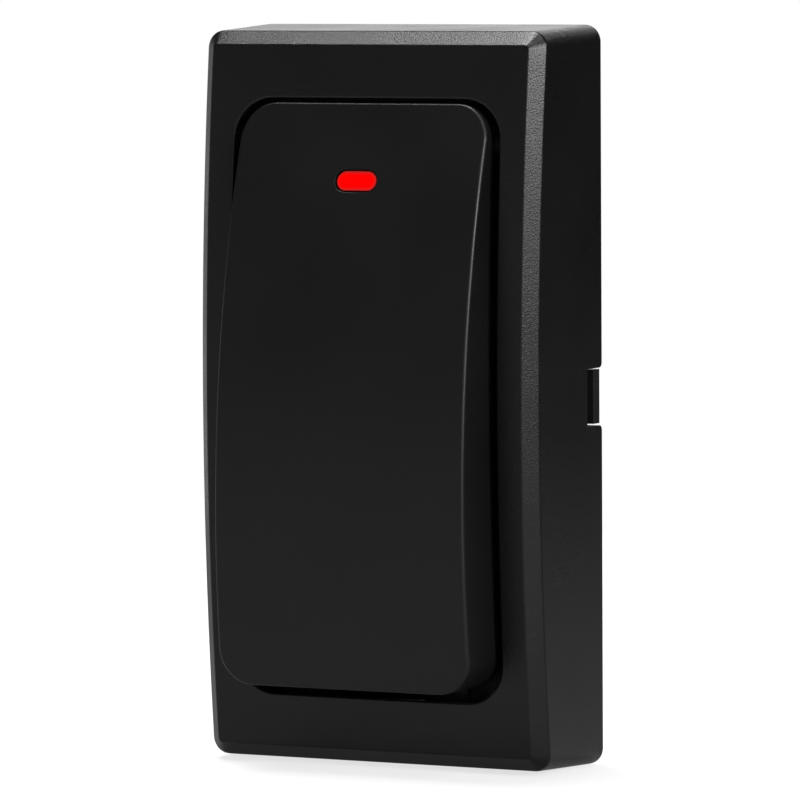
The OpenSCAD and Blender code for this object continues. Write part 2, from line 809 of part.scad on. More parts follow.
// Printed circuit board
module circuit_board() {
    board_h = board_top - board_bottom;
    color(board_green) upright() difference() {
        translate([0, (board_top + board_bottom) / 2, 0])
            slab(board_w, board_h, board_r, board_rear, board_front);
        board_screw_places() translate([0, 0, board_rear - over])
            cylinder(r = pilot_r, h = board_t + 2 * over);
    }
}

// Two screws that hold the board to the inner frame
module board_screws() {
    color(steel) upright() board_screw_places() translate([0, 0, board_rear])
        self_tapper(board_t + frame_t + screw_grip);
}

// Post, spring cup and press stops that hang from the inside of the rocker's face
module rocker_fittings() {
    intersection() {
        union() {
            translate([0, switch_h, post_tip]) cylinder(r = post_r, h = crown_d - post_tip);
            difference() {
                translate([0, crown_h, spring_top - cup_h])
                    cylinder(r = cup_r + cup_wall, h = cup_h + rocker_wall);
                translate([0, crown_h, spring_top - cup_h - over])
                    cylinder(r = cup_r, h = cup_h + over);
            }
            both_sides() translate([lug_x - stop_w / 2, stop_h - stop_t / 2, stop_tip])
                cube([stop_w, stop_t, crown_d - stop_tip]);
        }
        face_cylinder(face_r - rocker_wall / 2);
    }
}

// Cheek, boss and pin of the hinge at the right, and the lug that holds the lower end in
module rocker_bearing_and_lug() {
    cheek_x = rocker_w / 2 - rocker_wall;
    cheek_out = rocker_w / 2 - rocker_taper - cheek_inset;
    lug_in = rocker_bottom + rocker_wall;
    translate([cheek_x, hinge_h - hinge_boss_r, hinge_d])
        cube([cheek_out - cheek_x, 2 * hinge_boss_r, skirt_d + join - hinge_d]);
    pin_x(hinge_boss_r, cheek_x, ear_x - side_play, hinge_h, hinge_d);
    pin_x(pin_r, cheek_out, pin_end_x, hinge_h, hinge_d);
    translate([lug_x - lug_w / 2, -lug_end, lug_top - lug_t])
        cube([lug_w, lug_in + lug_end, lug_t]);
    translate([lug_x - lug_w / 2, rocker_bottom + cheek_inset, lug_top - lug_t])
        cube([lug_w, rocker_wall - cheek_inset, skirt_d + join - lug_top + lug_t]);
}

// Outline that the rocker's long sides close in to, seen from the front
module rocker_plan() {
    low = rocker_w / 2;
    high = low - rocker_taper;
    polygon([[-low, rocker_bottom], [low, rocker_bottom], [high, rocker_top], [-high, rocker_top]]);
}

// Tall button that rocks about its upper end
module rocker_button() {
    lean = (crown_d - skirt_d) * tan(rocker_draft);
    flat_w = rocker_w - rocker_taper - 2 * rocker_edge - 2 * lean;
    color(shell_black) upright() difference() {
        union() {
            difference() {
                intersection() {
                    translate([0, rocker_mid, skirt_d])
                        drafted_block(rocker_w, rocker_h, crown_d - skirt_d + over, rocker_draft,
                                      rocker_r);
                    translate([0, 0, skirt_d - over])
                        linear_extrude(crown_d - skirt_d + 2 * over) rocker_plan();
                    face_cylinder(face_r);
                }
                translate([0, crown_h, face_axis_d])
                    edge_rings(face_r, flat_w, rocker_edge, rocker_edge);
                intersection() {
                    translate([0, rocker_mid, 0])
                        slab(rocker_w - 2 * rocker_wall, rocker_h - 2 * rocker_wall,
                             rocker_r - rocker_wall, skirt_d - over, crown_d);
                    face_cylinder(face_r - rocker_wall);
                }
            }
            rocker_fittings();
            both_sides() rocker_bearing_and_lug();
        }
        translate([0, window_z, lens_rear]) linear_extrude(crown_d - lens_rear)
            stadium(window_w, window_h);
    }
}

// Red light pipe that fills the window, with a flange behind the rocker's shell
module window_lens() {
    pipe_w = window_w - 2 * lens_gap;
    pipe_h = window_h - 2 * lens_gap;
    flange_rear = lens_rear + lens_tip;
    color(lens_red) upright() {
        intersection() {
            translate([0, window_z, lens_rear]) linear_extrude(crown_d - lens_rear)
                stadium(pipe_w, pipe_h);
            face_cylinder(face_r - lens_sunk);
        }
        intersection() {
            translate([0, window_z, flange_rear]) linear_extrude(crown_d - flange_rear)
                stadium(pipe_w + 2 * lens_flange, pipe_h + 2 * lens_flange);
            face_cylinder(face_r - rocker_wall - lens_fit);
        }
    }
}

// Coil spring that returns the rocker
module return_spring() {
    rise = (spring_top - frame_front - spring_wire - 2 * spring_seat) / spring_turns;
    color(steel) upright() translate([0, crown_h, frame_front + spring_seat + spring_wire / 2])
        wire_coil(spring_r, spring_wire, spring_turns, rise);
}

// Moulded base of the push switch, with the well for its dome
module switch_base() {
    color(part_black) upright() translate([0, switch_h, 0]) difference() {
        slab(switch_w, switch_w, switch_corner, board_front, board_front + switch_base_h);
        translate([0, 0, well_d]) cylinder(r = well_r, h = switch_base_h);
    }
}

// Snap dome in the switch's well
module switch_dome() {
    base_r = well_r - dome_gap;
    ball_r = (pow(base_r, 2) + pow(dome_rise, 2)) / (2 * dome_rise);
    color(steel) upright() translate([0, switch_h, well_d]) intersection() {
        translate([0, 0, dome_rise - ball_r]) difference() {
            sphere(r = ball_r, $fn = dome_fn);
            sphere(r = ball_r - dome_t, $fn = dome_fn);
        }
        cylinder(r = base_r + join, h = dome_rise + join);
    }
}

// Metal cover that holds the plunger in the switch
module switch_cover() {
    color(steel) upright() translate([0, switch_h, 0]) difference() {
        slab(switch_w, switch_w, switch_corner, switch_top - switch_cover_t, switch_top);
        translate([0, 0, switch_top - over]) cylinder(r = plunger_r + plunger_run, h = 2 * over);
    }
}

// Plunger that the button's post presses
module switch_plunger() {
    flange_top = switch_top - switch_cover_t - plunger_play;
    color(part_black) upright() translate([0, switch_h, 0]) {
        translate([0, 0, plunger_rear]) cylinder(r = plunger_r, h = plunger_top - plunger_rear);
        translate([0, 0, plunger_rear])
            cylinder(r = plunger_r + plunger_flange, h = flange_top - plunger_rear);
    }
}

// Rectangular lamp behind the window
module indicator_led() {
    color(lens_red) upright() translate([0, window_z, board_front]) {
        translate([-led_foot.x / 2, -led_foot.y / 2, 0]) cube(led_foot);
        translate([-led_w / 2, -led_h / 2, 0]) cube([led_w, led_h, led_top - board_front]);
    }
}

// Cup for the coin cell, open at its lower side for the contact and for a fingertip
module battery_holder() {
    slot_w = contact_w + 2 * contact_room;
    color(part_black) upright() translate([0, cell_h, 0]) difference() {
        translate([0, 0, cell_rear + holder_floor])
            cylinder(r = holder_r, h = board_rear - cell_rear - holder_floor);
        translate([0, 0, cell_rear]) cylinder(r = cell_r + cell_fit, h = cell_t + contact_t);
        translate([-slot_w / 2, -holder_r - over, cell_rear])
            cube([slot_w, holder_r, cell_t + contact_t]);
    }
}

// Strip under the cell, with a tail down to the board
module negative_contact() {
    tail_y = holder_r + tail_gap;
    color(brass) upright() translate([-contact_w / 2, cell_h, cell_front]) {
        translate([0, -tail_y, 0]) cube([contact_w, tail_y + cell_r / 2, contact_t]);
        translate([0, -tail_y, 0]) cube([contact_w, contact_t, board_rear - cell_front]);
    }
}

// Strap over the cell, with two legs and feet on the board
module positive_clip() {
    color(steel) upright() translate([0, cell_h - contact_w / 2, 0]) {
        translate([-clip_leg_x - contact_t, 0, clip_d])
            cube([2 * (clip_leg_x + contact_t), contact_w, contact_t]);
        both_sides() {
            translate([clip_leg_x, 0, clip_d]) cube([contact_t, contact_w, board_rear - clip_d]);
            translate([clip_leg_x, 0, board_rear - contact_t])
                cube([clip_foot, contact_w, contact_t]);
        }
    }
}

// Coin cell, with the smaller negative cap towards the board
module coin_cell() {
    cap_r = cell_r - cap_inset;
    can_t = cell_t - cap_rise;
    color(steel) upright() translate([0, cell_h, cell_rear]) {
        cylinder(r = cell_r, h = can_t);
        cylinder(r = cap_r, h = cell_t);
    }
}

// Body of a chip that lies on the rear of the board
module chip_body(size) {
    translate([-size.x / 2, -size.y / 2, board_rear - size.z - chip_lift]) cube(size);
}

// Lead at the right of a chip body, bent down to the board
module chip_lead(body_w, y) {
    translate([body_w / 2 - join / 2, y - lead_w / 2, board_rear - lead_h])
        cube([lead_l, lead_w, lead_h]);
}

// Chip that codes the signal
module encoder_chip() {
    first = -(chip_leads - 1) / 2 * chip_lead_pitch;
    color(part_black) upright() translate([chip_x, lower_row, 0]) {
        chip_body(chip_size);
        both_sides() for (i = [0 : chip_leads - 1])
            chip_lead(chip_size.x, first + i * chip_lead_pitch);
    }
}

// Transistor that drives the antenna
module rf_transistor() {
    color(part_black) upright() translate([transistor_x, upper_row - transistor_drop, 0]) {
        chip_body(transistor_size);
        chip_lead(transistor_size.x, 0);
        mirror([1, 0, 0]) for (y = [-1, 1])
            chip_lead(transistor_size.x, y * transistor_lead_pitch / 2);
    }
}

// Metal can of the resonator that sets the frequency
module resonator_can() {
    color(steel) upright() translate([can_x, upper_row, 0]) {
        translate([0, 0, board_rear - can_h]) cylinder(r = can_r, h = can_h);
        translate([0, 0, board_rear - can_flange_h])
            cylinder(r = can_r + can_flange_w, h = can_flange_h);
    }
}

// Coil of wire that sends the signal
module antenna_coil() {
    seat_d = board_rear - coil_r - coil_wire / 2 - coil_gap;
    color(copper) upright()
        translate([coil_x - coil_turns * coil_pitch / 2, upper_row, seat_d])
            rotate([0, 90, 0]) wire_coil(coil_r, coil_wire, coil_turns, coil_pitch);
}

// Can capacitor across the battery
module filter_capacitor() {
    color(steel) upright() translate([capacitor_x, lower_row, 0]) {
        translate([0, 0, board_rear - capacitor_h]) cylinder(r = capacitor_r, h = capacitor_h);
        translate([-capacitor_foot.x / 2, -capacitor_foot.y / 2, board_rear - capacitor_foot.z])
            cube(capacitor_foot);
    }
}

// Row of small chip parts that stand on the rear of the board
module small_parts(x) {
    first = (small_count - 1) / 2 * small_pitch;
    for (i = [0 : small_count - 1])
        translate([x - small_size.x / 2, lower_row - small_size.y / 2 + first - i * small_pitch,
                   board_rear - small_size.z]) cube(small_size);
}

// Ceramic capacitors
module chip_capacitors() {
    color(ceramic_tan) upright() small_parts(small_capacitor_x);
}

// Resistors
module chip_resistors() {
    color(part_black) upright() small_parts(small_resistor_x);
}

back_plate();
plate_seal();
front_cover();
inner_frame();
frame_screws();
circuit_board();
board_screws();
rocker_button();
window_lens();
return_spring();
switch_base();
switch_dome();
switch_cover();
switch_plunger();
indicator_led();
battery_holder();
negative_contact();
positive_clip();
coin_cell();
encoder_chip();
rf_transistor();
resonator_can();
antenna_coil();
filter_capacitor();
chip_capacitors();
chip_resistors();
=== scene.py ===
"""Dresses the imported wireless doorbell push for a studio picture.

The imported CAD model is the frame. Each piece made here takes its sizes from the same values, is
measured in millimetres as width, height and depth from the wall, and ends up in metres with X to
the right, Z up and the front towards -Y.
"""

from __future__ import annotations

import json
import logging
import math
from collections.abc import Callable, Iterable, Sequence
from dataclasses import dataclass, field
from enum import Enum

import bmesh
import bpy
from mathutils import Matrix, Vector

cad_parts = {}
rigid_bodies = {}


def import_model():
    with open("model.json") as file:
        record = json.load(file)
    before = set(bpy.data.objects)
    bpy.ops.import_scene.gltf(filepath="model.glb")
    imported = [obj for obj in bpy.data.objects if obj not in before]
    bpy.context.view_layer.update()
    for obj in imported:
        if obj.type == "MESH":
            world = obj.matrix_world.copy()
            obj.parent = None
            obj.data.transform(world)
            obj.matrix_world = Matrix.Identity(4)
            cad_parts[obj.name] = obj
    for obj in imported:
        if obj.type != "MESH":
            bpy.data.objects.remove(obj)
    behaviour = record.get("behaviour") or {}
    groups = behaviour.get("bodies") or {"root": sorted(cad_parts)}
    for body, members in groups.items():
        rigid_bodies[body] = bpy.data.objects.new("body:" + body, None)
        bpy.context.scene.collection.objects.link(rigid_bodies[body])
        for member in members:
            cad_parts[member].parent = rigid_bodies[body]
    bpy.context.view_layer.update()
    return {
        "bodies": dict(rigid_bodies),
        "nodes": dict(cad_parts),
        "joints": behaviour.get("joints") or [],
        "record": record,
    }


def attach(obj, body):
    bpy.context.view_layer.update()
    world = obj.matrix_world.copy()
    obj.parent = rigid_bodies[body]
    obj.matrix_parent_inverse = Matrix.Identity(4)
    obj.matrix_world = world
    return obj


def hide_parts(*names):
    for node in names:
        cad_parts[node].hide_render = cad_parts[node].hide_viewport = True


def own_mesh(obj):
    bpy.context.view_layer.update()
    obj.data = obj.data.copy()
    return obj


LOG = logging.getLogger("doorbell_push")
MM = 0.001
SHARP_ANGLE = math.radians(35)
PLANE_ANGLE = math.radians(0.5)
MERGE_DISTANCE = 1e-7
NO_RISE = 1e-9
WHITE = (1.0, 1.0, 1.0, 1.0)
BLACK = (0.0, 0.0, 0.0, 1.0)
# Parts of a small round, and of a rounded edge
ROUND_PARTS = 32
EDGE_PARTS = 4

Depth = Callable[[float], float]
Flat = tuple[float, float]
Point = tuple[float, float, float]


class Body(Enum):
    """CAD bodies that the pieces ride on."""

    WALL_PLATE = "wall_plate"
    FRONT_UNIT = "front_unit"
    ROCKER = "rocker"


class Slot(Enum):
    """Material slots of the record."""

    HOUSING = "housing_abs"
    BUTTON = "button_abs"
    PLATE = "plate_abs"
    FRAME = "frame_abs"
    LENS = "lens_acrylic"
    LAMP = "led_epoxy"
    SEAL = "seal_rubber"
    BOARD = "board_laminate"
    NYLON = "part_nylon"
    CHIP = "chip_epoxy"
    CERAMIC = "chip_ceramic"
    ZINC = "zinc_steel"
    SPRING = "spring_steel"
    TIN = "tin_plate"
    CELL = "cell_steel"
    BRONZE = "contact_bronze"
    COPPER = "copper_wire"
    CAN = "can_aluminium"


def linear(hex_colour: str) -> tuple[float, float, float, float]:
    """Turn an sRGB hex colour into a linear one.

    Args:
        hex_colour: Colour as "#rrggbb".

    Returns:
        Red, green, blue and full opacity, linear.
    """
    levels = [int(hex_colour[i : i + 2], 16) / 255 for i in (1, 3, 5)]
    curve = [v / 12.92 if v <= 0.04045 else ((v + 0.055) / 1.055) ** 2.4 for v in levels]
    return (curve[0], curve[1], curve[2], 1.0)


def place(width: float, height: float, depth: float) -> Vector:
    """Turn width, height and depth from the wall in millimetres into a point of the frame.

    Args:
        width: Distance to the right of the middle.
        height: Distance above the middle.
        depth: Distance in front of the wall.

    Returns:
        The point in metres.
    """
    return Vector((width, -depth, height)) * MM


def add_node(
    tree: bpy.types.NodeTree,
    kind: str,
    settings: dict[str, object] | None = None,
    inputs: dict[str | int, object] | None = None,
) -> bpy.types.Node:
    """Add a node with its settings, values and links.

    Args:
        tree: Node tree that takes the node.
        kind: Node type, as Blender names it.
        settings: Properties of the node.
        inputs: Value of each input, or the output socket that is linked to it.

    Returns:
        The new node.
    """
    node = tree.nodes.new(kind)
    for name, value in (settings or {}).items():
        setattr(node, name, value)
    for key, value in (inputs or {}).items():
        if isinstance(value, bpy.types.NodeSocket):
            tree.links.new(value, node.inputs[key])
        else:
            node.inputs[key].default_value = value
    return node


def new_shader_tree(name: str) -> tuple[bpy.types.Material, bpy.types.NodeTree]:
    """Make a material with an empty node tree.

    Args:
        name: Name of the material.

    Returns:
        The material and its tree.
    """
    material = bpy.data.materials.new(name)
    material.use_nodes = True
    material.node_tree.nodes.clear()
    return material, material.node_tree


@dataclass(frozen=True)
class MouldedPlastic:
    """Plastic that keeps the texture of its mould: a fine even grain and a soft, broad gloss."""

    name: str
    slot: Slot
    dark: str
    pale: str
    roughness: float
    grain_mm: float
    grain_depth_mm: float
    ior: float = 1.53
    gloss_spread: float = 0.03
    drift_mm: float = 14.0
    specular: float = 0.5
    grain_layers: float = 3.0
    grain_fineness: float = 0.6
    drift_layers: float = 2.0
    drift_span: Flat = (0.35, 0.65)

    def build(self) -> bpy.types.Material:
        """Build the material: grain as relief, and slow drifts of shade and gloss.

        Returns:
            The material.
        """
        material, tree = new_shader_tree(self.name)
        coords = add_node(tree, "ShaderNodeTexCoord").outputs["Object"]
        grain = add_node(
            tree,
            "ShaderNodeTexNoise",
            inputs={
                "Vector": coords,
                "Scale": 1 / (self.grain_mm * MM),
                "Detail": self.grain_layers,
                "Roughness": self.grain_fineness,
            },
        ).outputs[0]
        drift = add_node(
            tree,
            "ShaderNodeTexNoise",
            inputs={
                "Vector": coords,
                "Scale": 1 / (self.drift_mm * MM),
                "Detail": self.drift_layers,
            },
        ).outputs[0]
        shade = add_node(
            tree,
            "ShaderNodeMix",
            {"data_type": "RGBA"},
            {0: drift, 6: linear(self.dark), 7: linear(self.pale)},
        ).outputs[2]
        gloss = add_node(
            tree,
            "ShaderNodeMapRange",
            inputs={
                "Value": drift,
                "From Min": self.drift_span[0],
                "From Max": self.drift_span[1],
                "To Min": self.roughness - self.gloss_spread,
                "To Max": self.roughness + self.gloss_spread,
            },
        ).outputs[0]
        relief = add_node(
            tree,
            "ShaderNodeBump",
            inputs={"Height": grain, "Distance": self.grain_depth_mm * MM, "Strength": 1.0},
        ).outputs[0]
        shader = add_node(
            tree,
            "ShaderNodeBsdfPrincipled",
            inputs={
                "Base Color": shade,
                "Roughness": gloss,
                "IOR": self.ior,
                "Specular IOR Level": self.specular,
                "Normal": relief,
            },
        ).outputs[0]
        add_node(tree, "ShaderNodeOutputMaterial", inputs={"Surface": shader})
        return material


@dataclass(frozen=True)
class WorkedMetal:
    """Metal with fine drawing or rolling lines, which stretch its reflections.

    The real lines are some hundredths of a millimetre wide, too fine to show, so these are coarser.
    """

    name: str
    slot: Slot
    dark: str
    pale: str
    roughness: float
    line_mm: float = 0.12
    line_stretch: float = 12.0
    line_depth_mm: float = 0.002
    gloss_spread: float = 0.08
    line_layers: float = 2.0
    line_span: Flat = (0.3, 0.7)

    def build(self) -> bpy.types.Material:
        """Build the material: long thin lines in shade, gloss and relief.

        Returns:
            The material.
        """
        material, tree = new_shader_tree(self.name)
        coords = add_node(tree, "ShaderNodeTexCoord").outputs["Object"]
        stretched = add_node(
            tree,
            "ShaderNodeMapping",
            inputs={"Vector": coords, "Scale": (1 / self.line_stretch, 1.0, 1.0)},
        ).outputs[0]
        lines = add_node(
            tree,
            "ShaderNodeTexNoise",
            inputs={
                "Vector": stretched,
                "Scale": 1 / (self.line_mm * MM),
                "Detail": self.line_layers,
            },
        ).outputs[0]
        shade = add_node(
            tree,
            "ShaderNodeMix",
            {"data_type": "RGBA"},
            {0: lines, 6: linear(self.dark), 7: linear(self.pale)},
        ).outputs[2]
        gloss = add_node(
            tree,
            "ShaderNodeMapRange",
            inputs={
                "Value": lines,
                "From Min": self.line_span[0],
                "From Max": self.line_span[1],
                "To Min": self.roughness - self.gloss_spread,
                "To Max": self.roughness + self.gloss_spread,
            },
        ).outputs[0]
        relief = add_node(
            tree,
            "ShaderNodeBump",
            inputs={"Height": lines, "Distance": self.line_depth_mm * MM, "Strength": 1.0},
        ).outputs[0]
        shader = add_node(
            tree,
            "ShaderNodeBsdfPrincipled",
            inputs={"Base Color": shade, "Metallic": 1.0, "Roughness": gloss, "Normal": relief},
        ).outputs[0]
        add_node(tree, "ShaderNodeOutputMaterial", inputs={"Surface": shader})
        return material


@dataclass(frozen=True)
class SolderMask:
    """Green lacquer over glass laminate, where the copper tracks below show as paler lines."""

    name: str
    slot: Slot
    bare: str
    track: str
    track_mm: float = 0.5
    track_edge: float = 0.1
    track_rise_mm: float = 0.03
    pitch_mm: float = 2.4
    run: float = 4.0
    stagger: float = 0.37
    stretch: float = 1.7
    stretch_every: int = 3
    roughness: float = 0.28
    ior: float = 1.5

    def build(self) -> bpy.types.Material:
        """Build the material: stepped tracks in shade and relief under one gloss.

        Returns:
            The material.
        """
        material, tree = new_shader_tree(self.name)
        coords = add_node(tree, "ShaderNodeTexCoord").outputs["Object"]
        facing = add_node(
            tree,
            "ShaderNodeMapping",
            inputs={"Vector": coords, "Rotation": (math.radians(90), 0.0, 0.0)},
        ).outputs[0]
        tracks = add_node(
            tree,
            "ShaderNodeTexBrick",
            {
                "offset": self.stagger,
                "squash": self.stretch,
                "squash_frequency": self.stretch_every,
            },
            {
                "Vector": facing,
                "Color1": BLACK,
                "Color2": BLACK,
                "Mortar": WHITE,
                "Scale": 1 / (self.pitch_mm * MM),
                "Mortar Size": self.track_mm / self.pitch_mm / 2,
                "Mortar Smooth": self.track_edge,
                "Brick Width": self.run,
                "Row Height": 1.0,
            },
        ).outputs[0]
        shade = add_node(
            tree,
            "ShaderNodeMix",
            {"data_type": "RGBA"},
            {0: tracks, 6: linear(self.bare), 7: linear(self.track)},
        ).outputs[2]
        relief = add_node(
            tree,
            "ShaderNodeBump",
            inputs={"Height": tracks, "Distance": self.track_rise_mm * MM, "Strength": 1.0},
        ).outputs[0]
        shader = add_node(
            tree,
            "ShaderNodeBsdfPrincipled",
            inputs={
                "Base Color": shade,
                "Roughness": self.roughness,
                "IOR": self.ior,
                "Normal": relief,
            },
        ).outputs[0]
        add_node(tree, "ShaderNodeOutputMaterial", inputs={"Surface": shader})
        return material


@dataclass(frozen=True)
class LitAcrylic:
    """Clear tinted plastic with a lamp behind it: a glow that is fullest in the middle."""

    name: str
    slot: Slot
    colour: str
    # Paler colour towards the rim: a painted highlight on the lens's rounded edge.
    rim_highlight_colour: str
    light: str
    glow: float
    rim_glow: float
    middle: Point
    size_mm: Flat
    rim_mm: float
    tilt: float
    lit_mm: float
    lit_span: Flat = (-1.0, -0.1)
    roughness: float = 0.25
    ior: float = 1.49
    specular: float = 0.05

    def build(self) -> bpy.types.Material:
        """Build the material: a glow at the front that falls off towards the rim and behind it.

        Returns:
            The material.
        """
        material, tree = new_shader_tree(self.name)
        coords = add_node(tree, "ShaderNodeTexCoord").outputs["Object"]
        centred = add_node(
            tree,
            "ShaderNodeMapping",
            {"vector_type": "TEXTURE"},
            {"Vector": coords, "Location": place(*self.middle), "Rotation": (-self.tilt, 0.0, 0.0)},
        ).outputs[0]
        radius, straight = self.size_mm[1] / 2, (self.size_mm[0] - self.size_mm[1]) / 2
        parts = add_node(tree, "ShaderNodeSeparateXYZ", inputs={"Vector": centred}).outputs
        past = parts["X"]
        for operation, value in (("ABSOLUTE", 0.0), ("SUBTRACT", straight * MM), ("MAXIMUM", 0.0)):
            past = add_node(
                tree, "ShaderNodeMath", {"operation": operation}, {0: past, 1: value}
            ).outputs[0]
        flat = add_node(tree, "ShaderNodeCombineXYZ", inputs={"X": past, "Z": parts["Z"]}).outputs[0]
        away = add_node(
            tree, "ShaderNodeVectorMath", {"operation": "LENGTH"}, {0: flat}
        ).outputs["Value"]
        rim = add_node(
            tree,
            "ShaderNodeMapRange",
            inputs={
                "Value": away,
                "From Min": (radius - self.rim_mm) * MM,
                "From Max": radius * MM,
            },
        ).outputs[0]
        # Towards the rim the colour turns paler: a painted highlight on the lens's rounded edge.
        shade = add_node(
            tree,
            "ShaderNodeMix",
            {"data_type": "RGBA"},
            {0: rim, 6: linear(self.colour), 7: linear(self.rim_highlight_colour)},
        ).outputs[2]
        spread = add_node(
            tree,
            "ShaderNodeMapRange",
            inputs={"Value": rim, "To Min": self.glow, "To Max": self.rim_glow},
        ).outputs[0]
        depth = add_node(
            tree,
            "ShaderNodeVectorMath",
            {"operation": "DOT_PRODUCT"},
            {0: centred, 1: (0.0, -1 / (self.lit_mm * MM), 0.0)},
        ).outputs["Value"]
        strength = add_node(
            tree,
            "ShaderNodeMapRange",
            inputs={
                "Value": depth,
                "From Min": self.lit_span[0],
                "From Max": self.lit_span[1],
                "To Max": spread,
            },
        ).outputs[0]
        shader = add_node(
            tree,
            "ShaderNodeBsdfPrincipled",
            inputs={
                "Base Color": shade,
                "Roughness": self.roughness,
                "IOR": self.ior,
                "Specular IOR Level": self.specular,
                "Emission Color": linear(self.light),
                "Emission Strength": strength,
            },
        ).outputs[0]
        add_node(tree, "ShaderNodeOutputMaterial", inputs={"Surface": shader})
        return material


Finish = MouldedPlastic | WorkedMetal | SolderMask | LitAcrylic


@dataclass(frozen=True)
class Outline:
    """Rectangle with round corners, seen from the front."""

    half_w: float
    half_h: float
    radius: float
    mid_h: float = 0.0

    def grown(self, by: float) -> Outline:
        """The outline moved out all round, or in where the number is negative."""
        return Outline(self.half_w + by, self.half_h + by, self.radius + by, self.mid_h)


@dataclass(frozen=True)
class Division:
    """How the points of every ring of one skin are shared out."""

    breaks: tuple[float, ...]
    stretches: tuple[int, ...]
    ends: int
    arcs: int

    @property
    def sides(self) -> int:
        """Parts along one long side."""
        return sum(self.stretches)

    @property
    def left_start(self) -> int:
        """Index of the first point of the left side, at its upper end."""
        return self.sides + self.ends + 2 * self.arcs

    @property
    def lower_start(self) -> int:
        """Index of the first point of the lower end, at its left."""
        return self.left_start + self.sides + self.arcs

    def stretch_of(self, number: int) -> range:
        """Parts of the right side that belong to a stretch, counted from below."""
        first = sum(self.stretches[:number])
        return range(first, first + self.stretches[number])

    def ring(self, outline: Outline) -> list[Flat]:
        """Spread the points of a ring over an outline.

        Args:
            outline: Outline that the ring follows.

        Returns:
            Width and height of each point, upwards along the right side and round to its start.
        """
        radius = outline.radius
        straight_w, straight_h = outline.half_w - radius, outline.half_h - radius
        low, high = outline.mid_h - straight_h, outline.mid_h + straight_h
        levels = (low, *self.breaks, high)
        heights = [
            a + (b - a) * i / parts
            for a, b, parts in zip(levels, levels[1:], self.stretches)
            for i in range(parts)
        ] + [high]
        across = [straight_w * (2 * i / self.ends - 1) for i in range(self.ends)]

        def corner(x: float, y: float, quarter: int) -> list[Flat]:
            """Points of a corner's arc, without its last one."""
            turns = [(quarter + i / self.arcs) * math.pi / 2 for i in range(self.arcs)]
            return [(x + radius * math.cos(t), y + radius * math.sin(t)) for t in turns]

        return [
            *((outline.half_w, h) for h in heights[:-1]),
            *corner(straight_w, high, 0),
            *((-x, outline.mid_h + outline.half_h) for x in across),
            *corner(-straight_w, high, 1),
            *((-outline.half_w, h) for h in reversed(heights[1:])),
            *corner(-straight_w, low, 2),
            *((x, outline.mid_h - outline.half_h) for x in across),
            *corner(straight_w, low, 3),
        ]


def stadium_edge(width: float, height: float, direction: Flat) -> Flat:
    """Find where a ray from the middle of a slot with round ends leaves it.

    Args:
        width: Length of the slot.
        height: Width of the slot, twice the radius of its ends.
        direction: Direction of the ray.

    Returns:
        The point on the slot's edge, from its middle.
    """
    radius, straight = height / 2, (width - height) / 2
    dx, dy = direction
    if abs(dy) > NO_RISE and abs(dx) * radius <= straight * abs(dy):
        share = radius / abs(dy)
        return (dx * share, dy * share)
    centre = math.copysign(straight, dx)
    length = dx * dx + dy * dy
    along = dx * centre
    inside = straight * straight - radius * radius
    share = (along + math.sqrt(along * along - length * inside)) / length
    return (dx * share, dy * share)


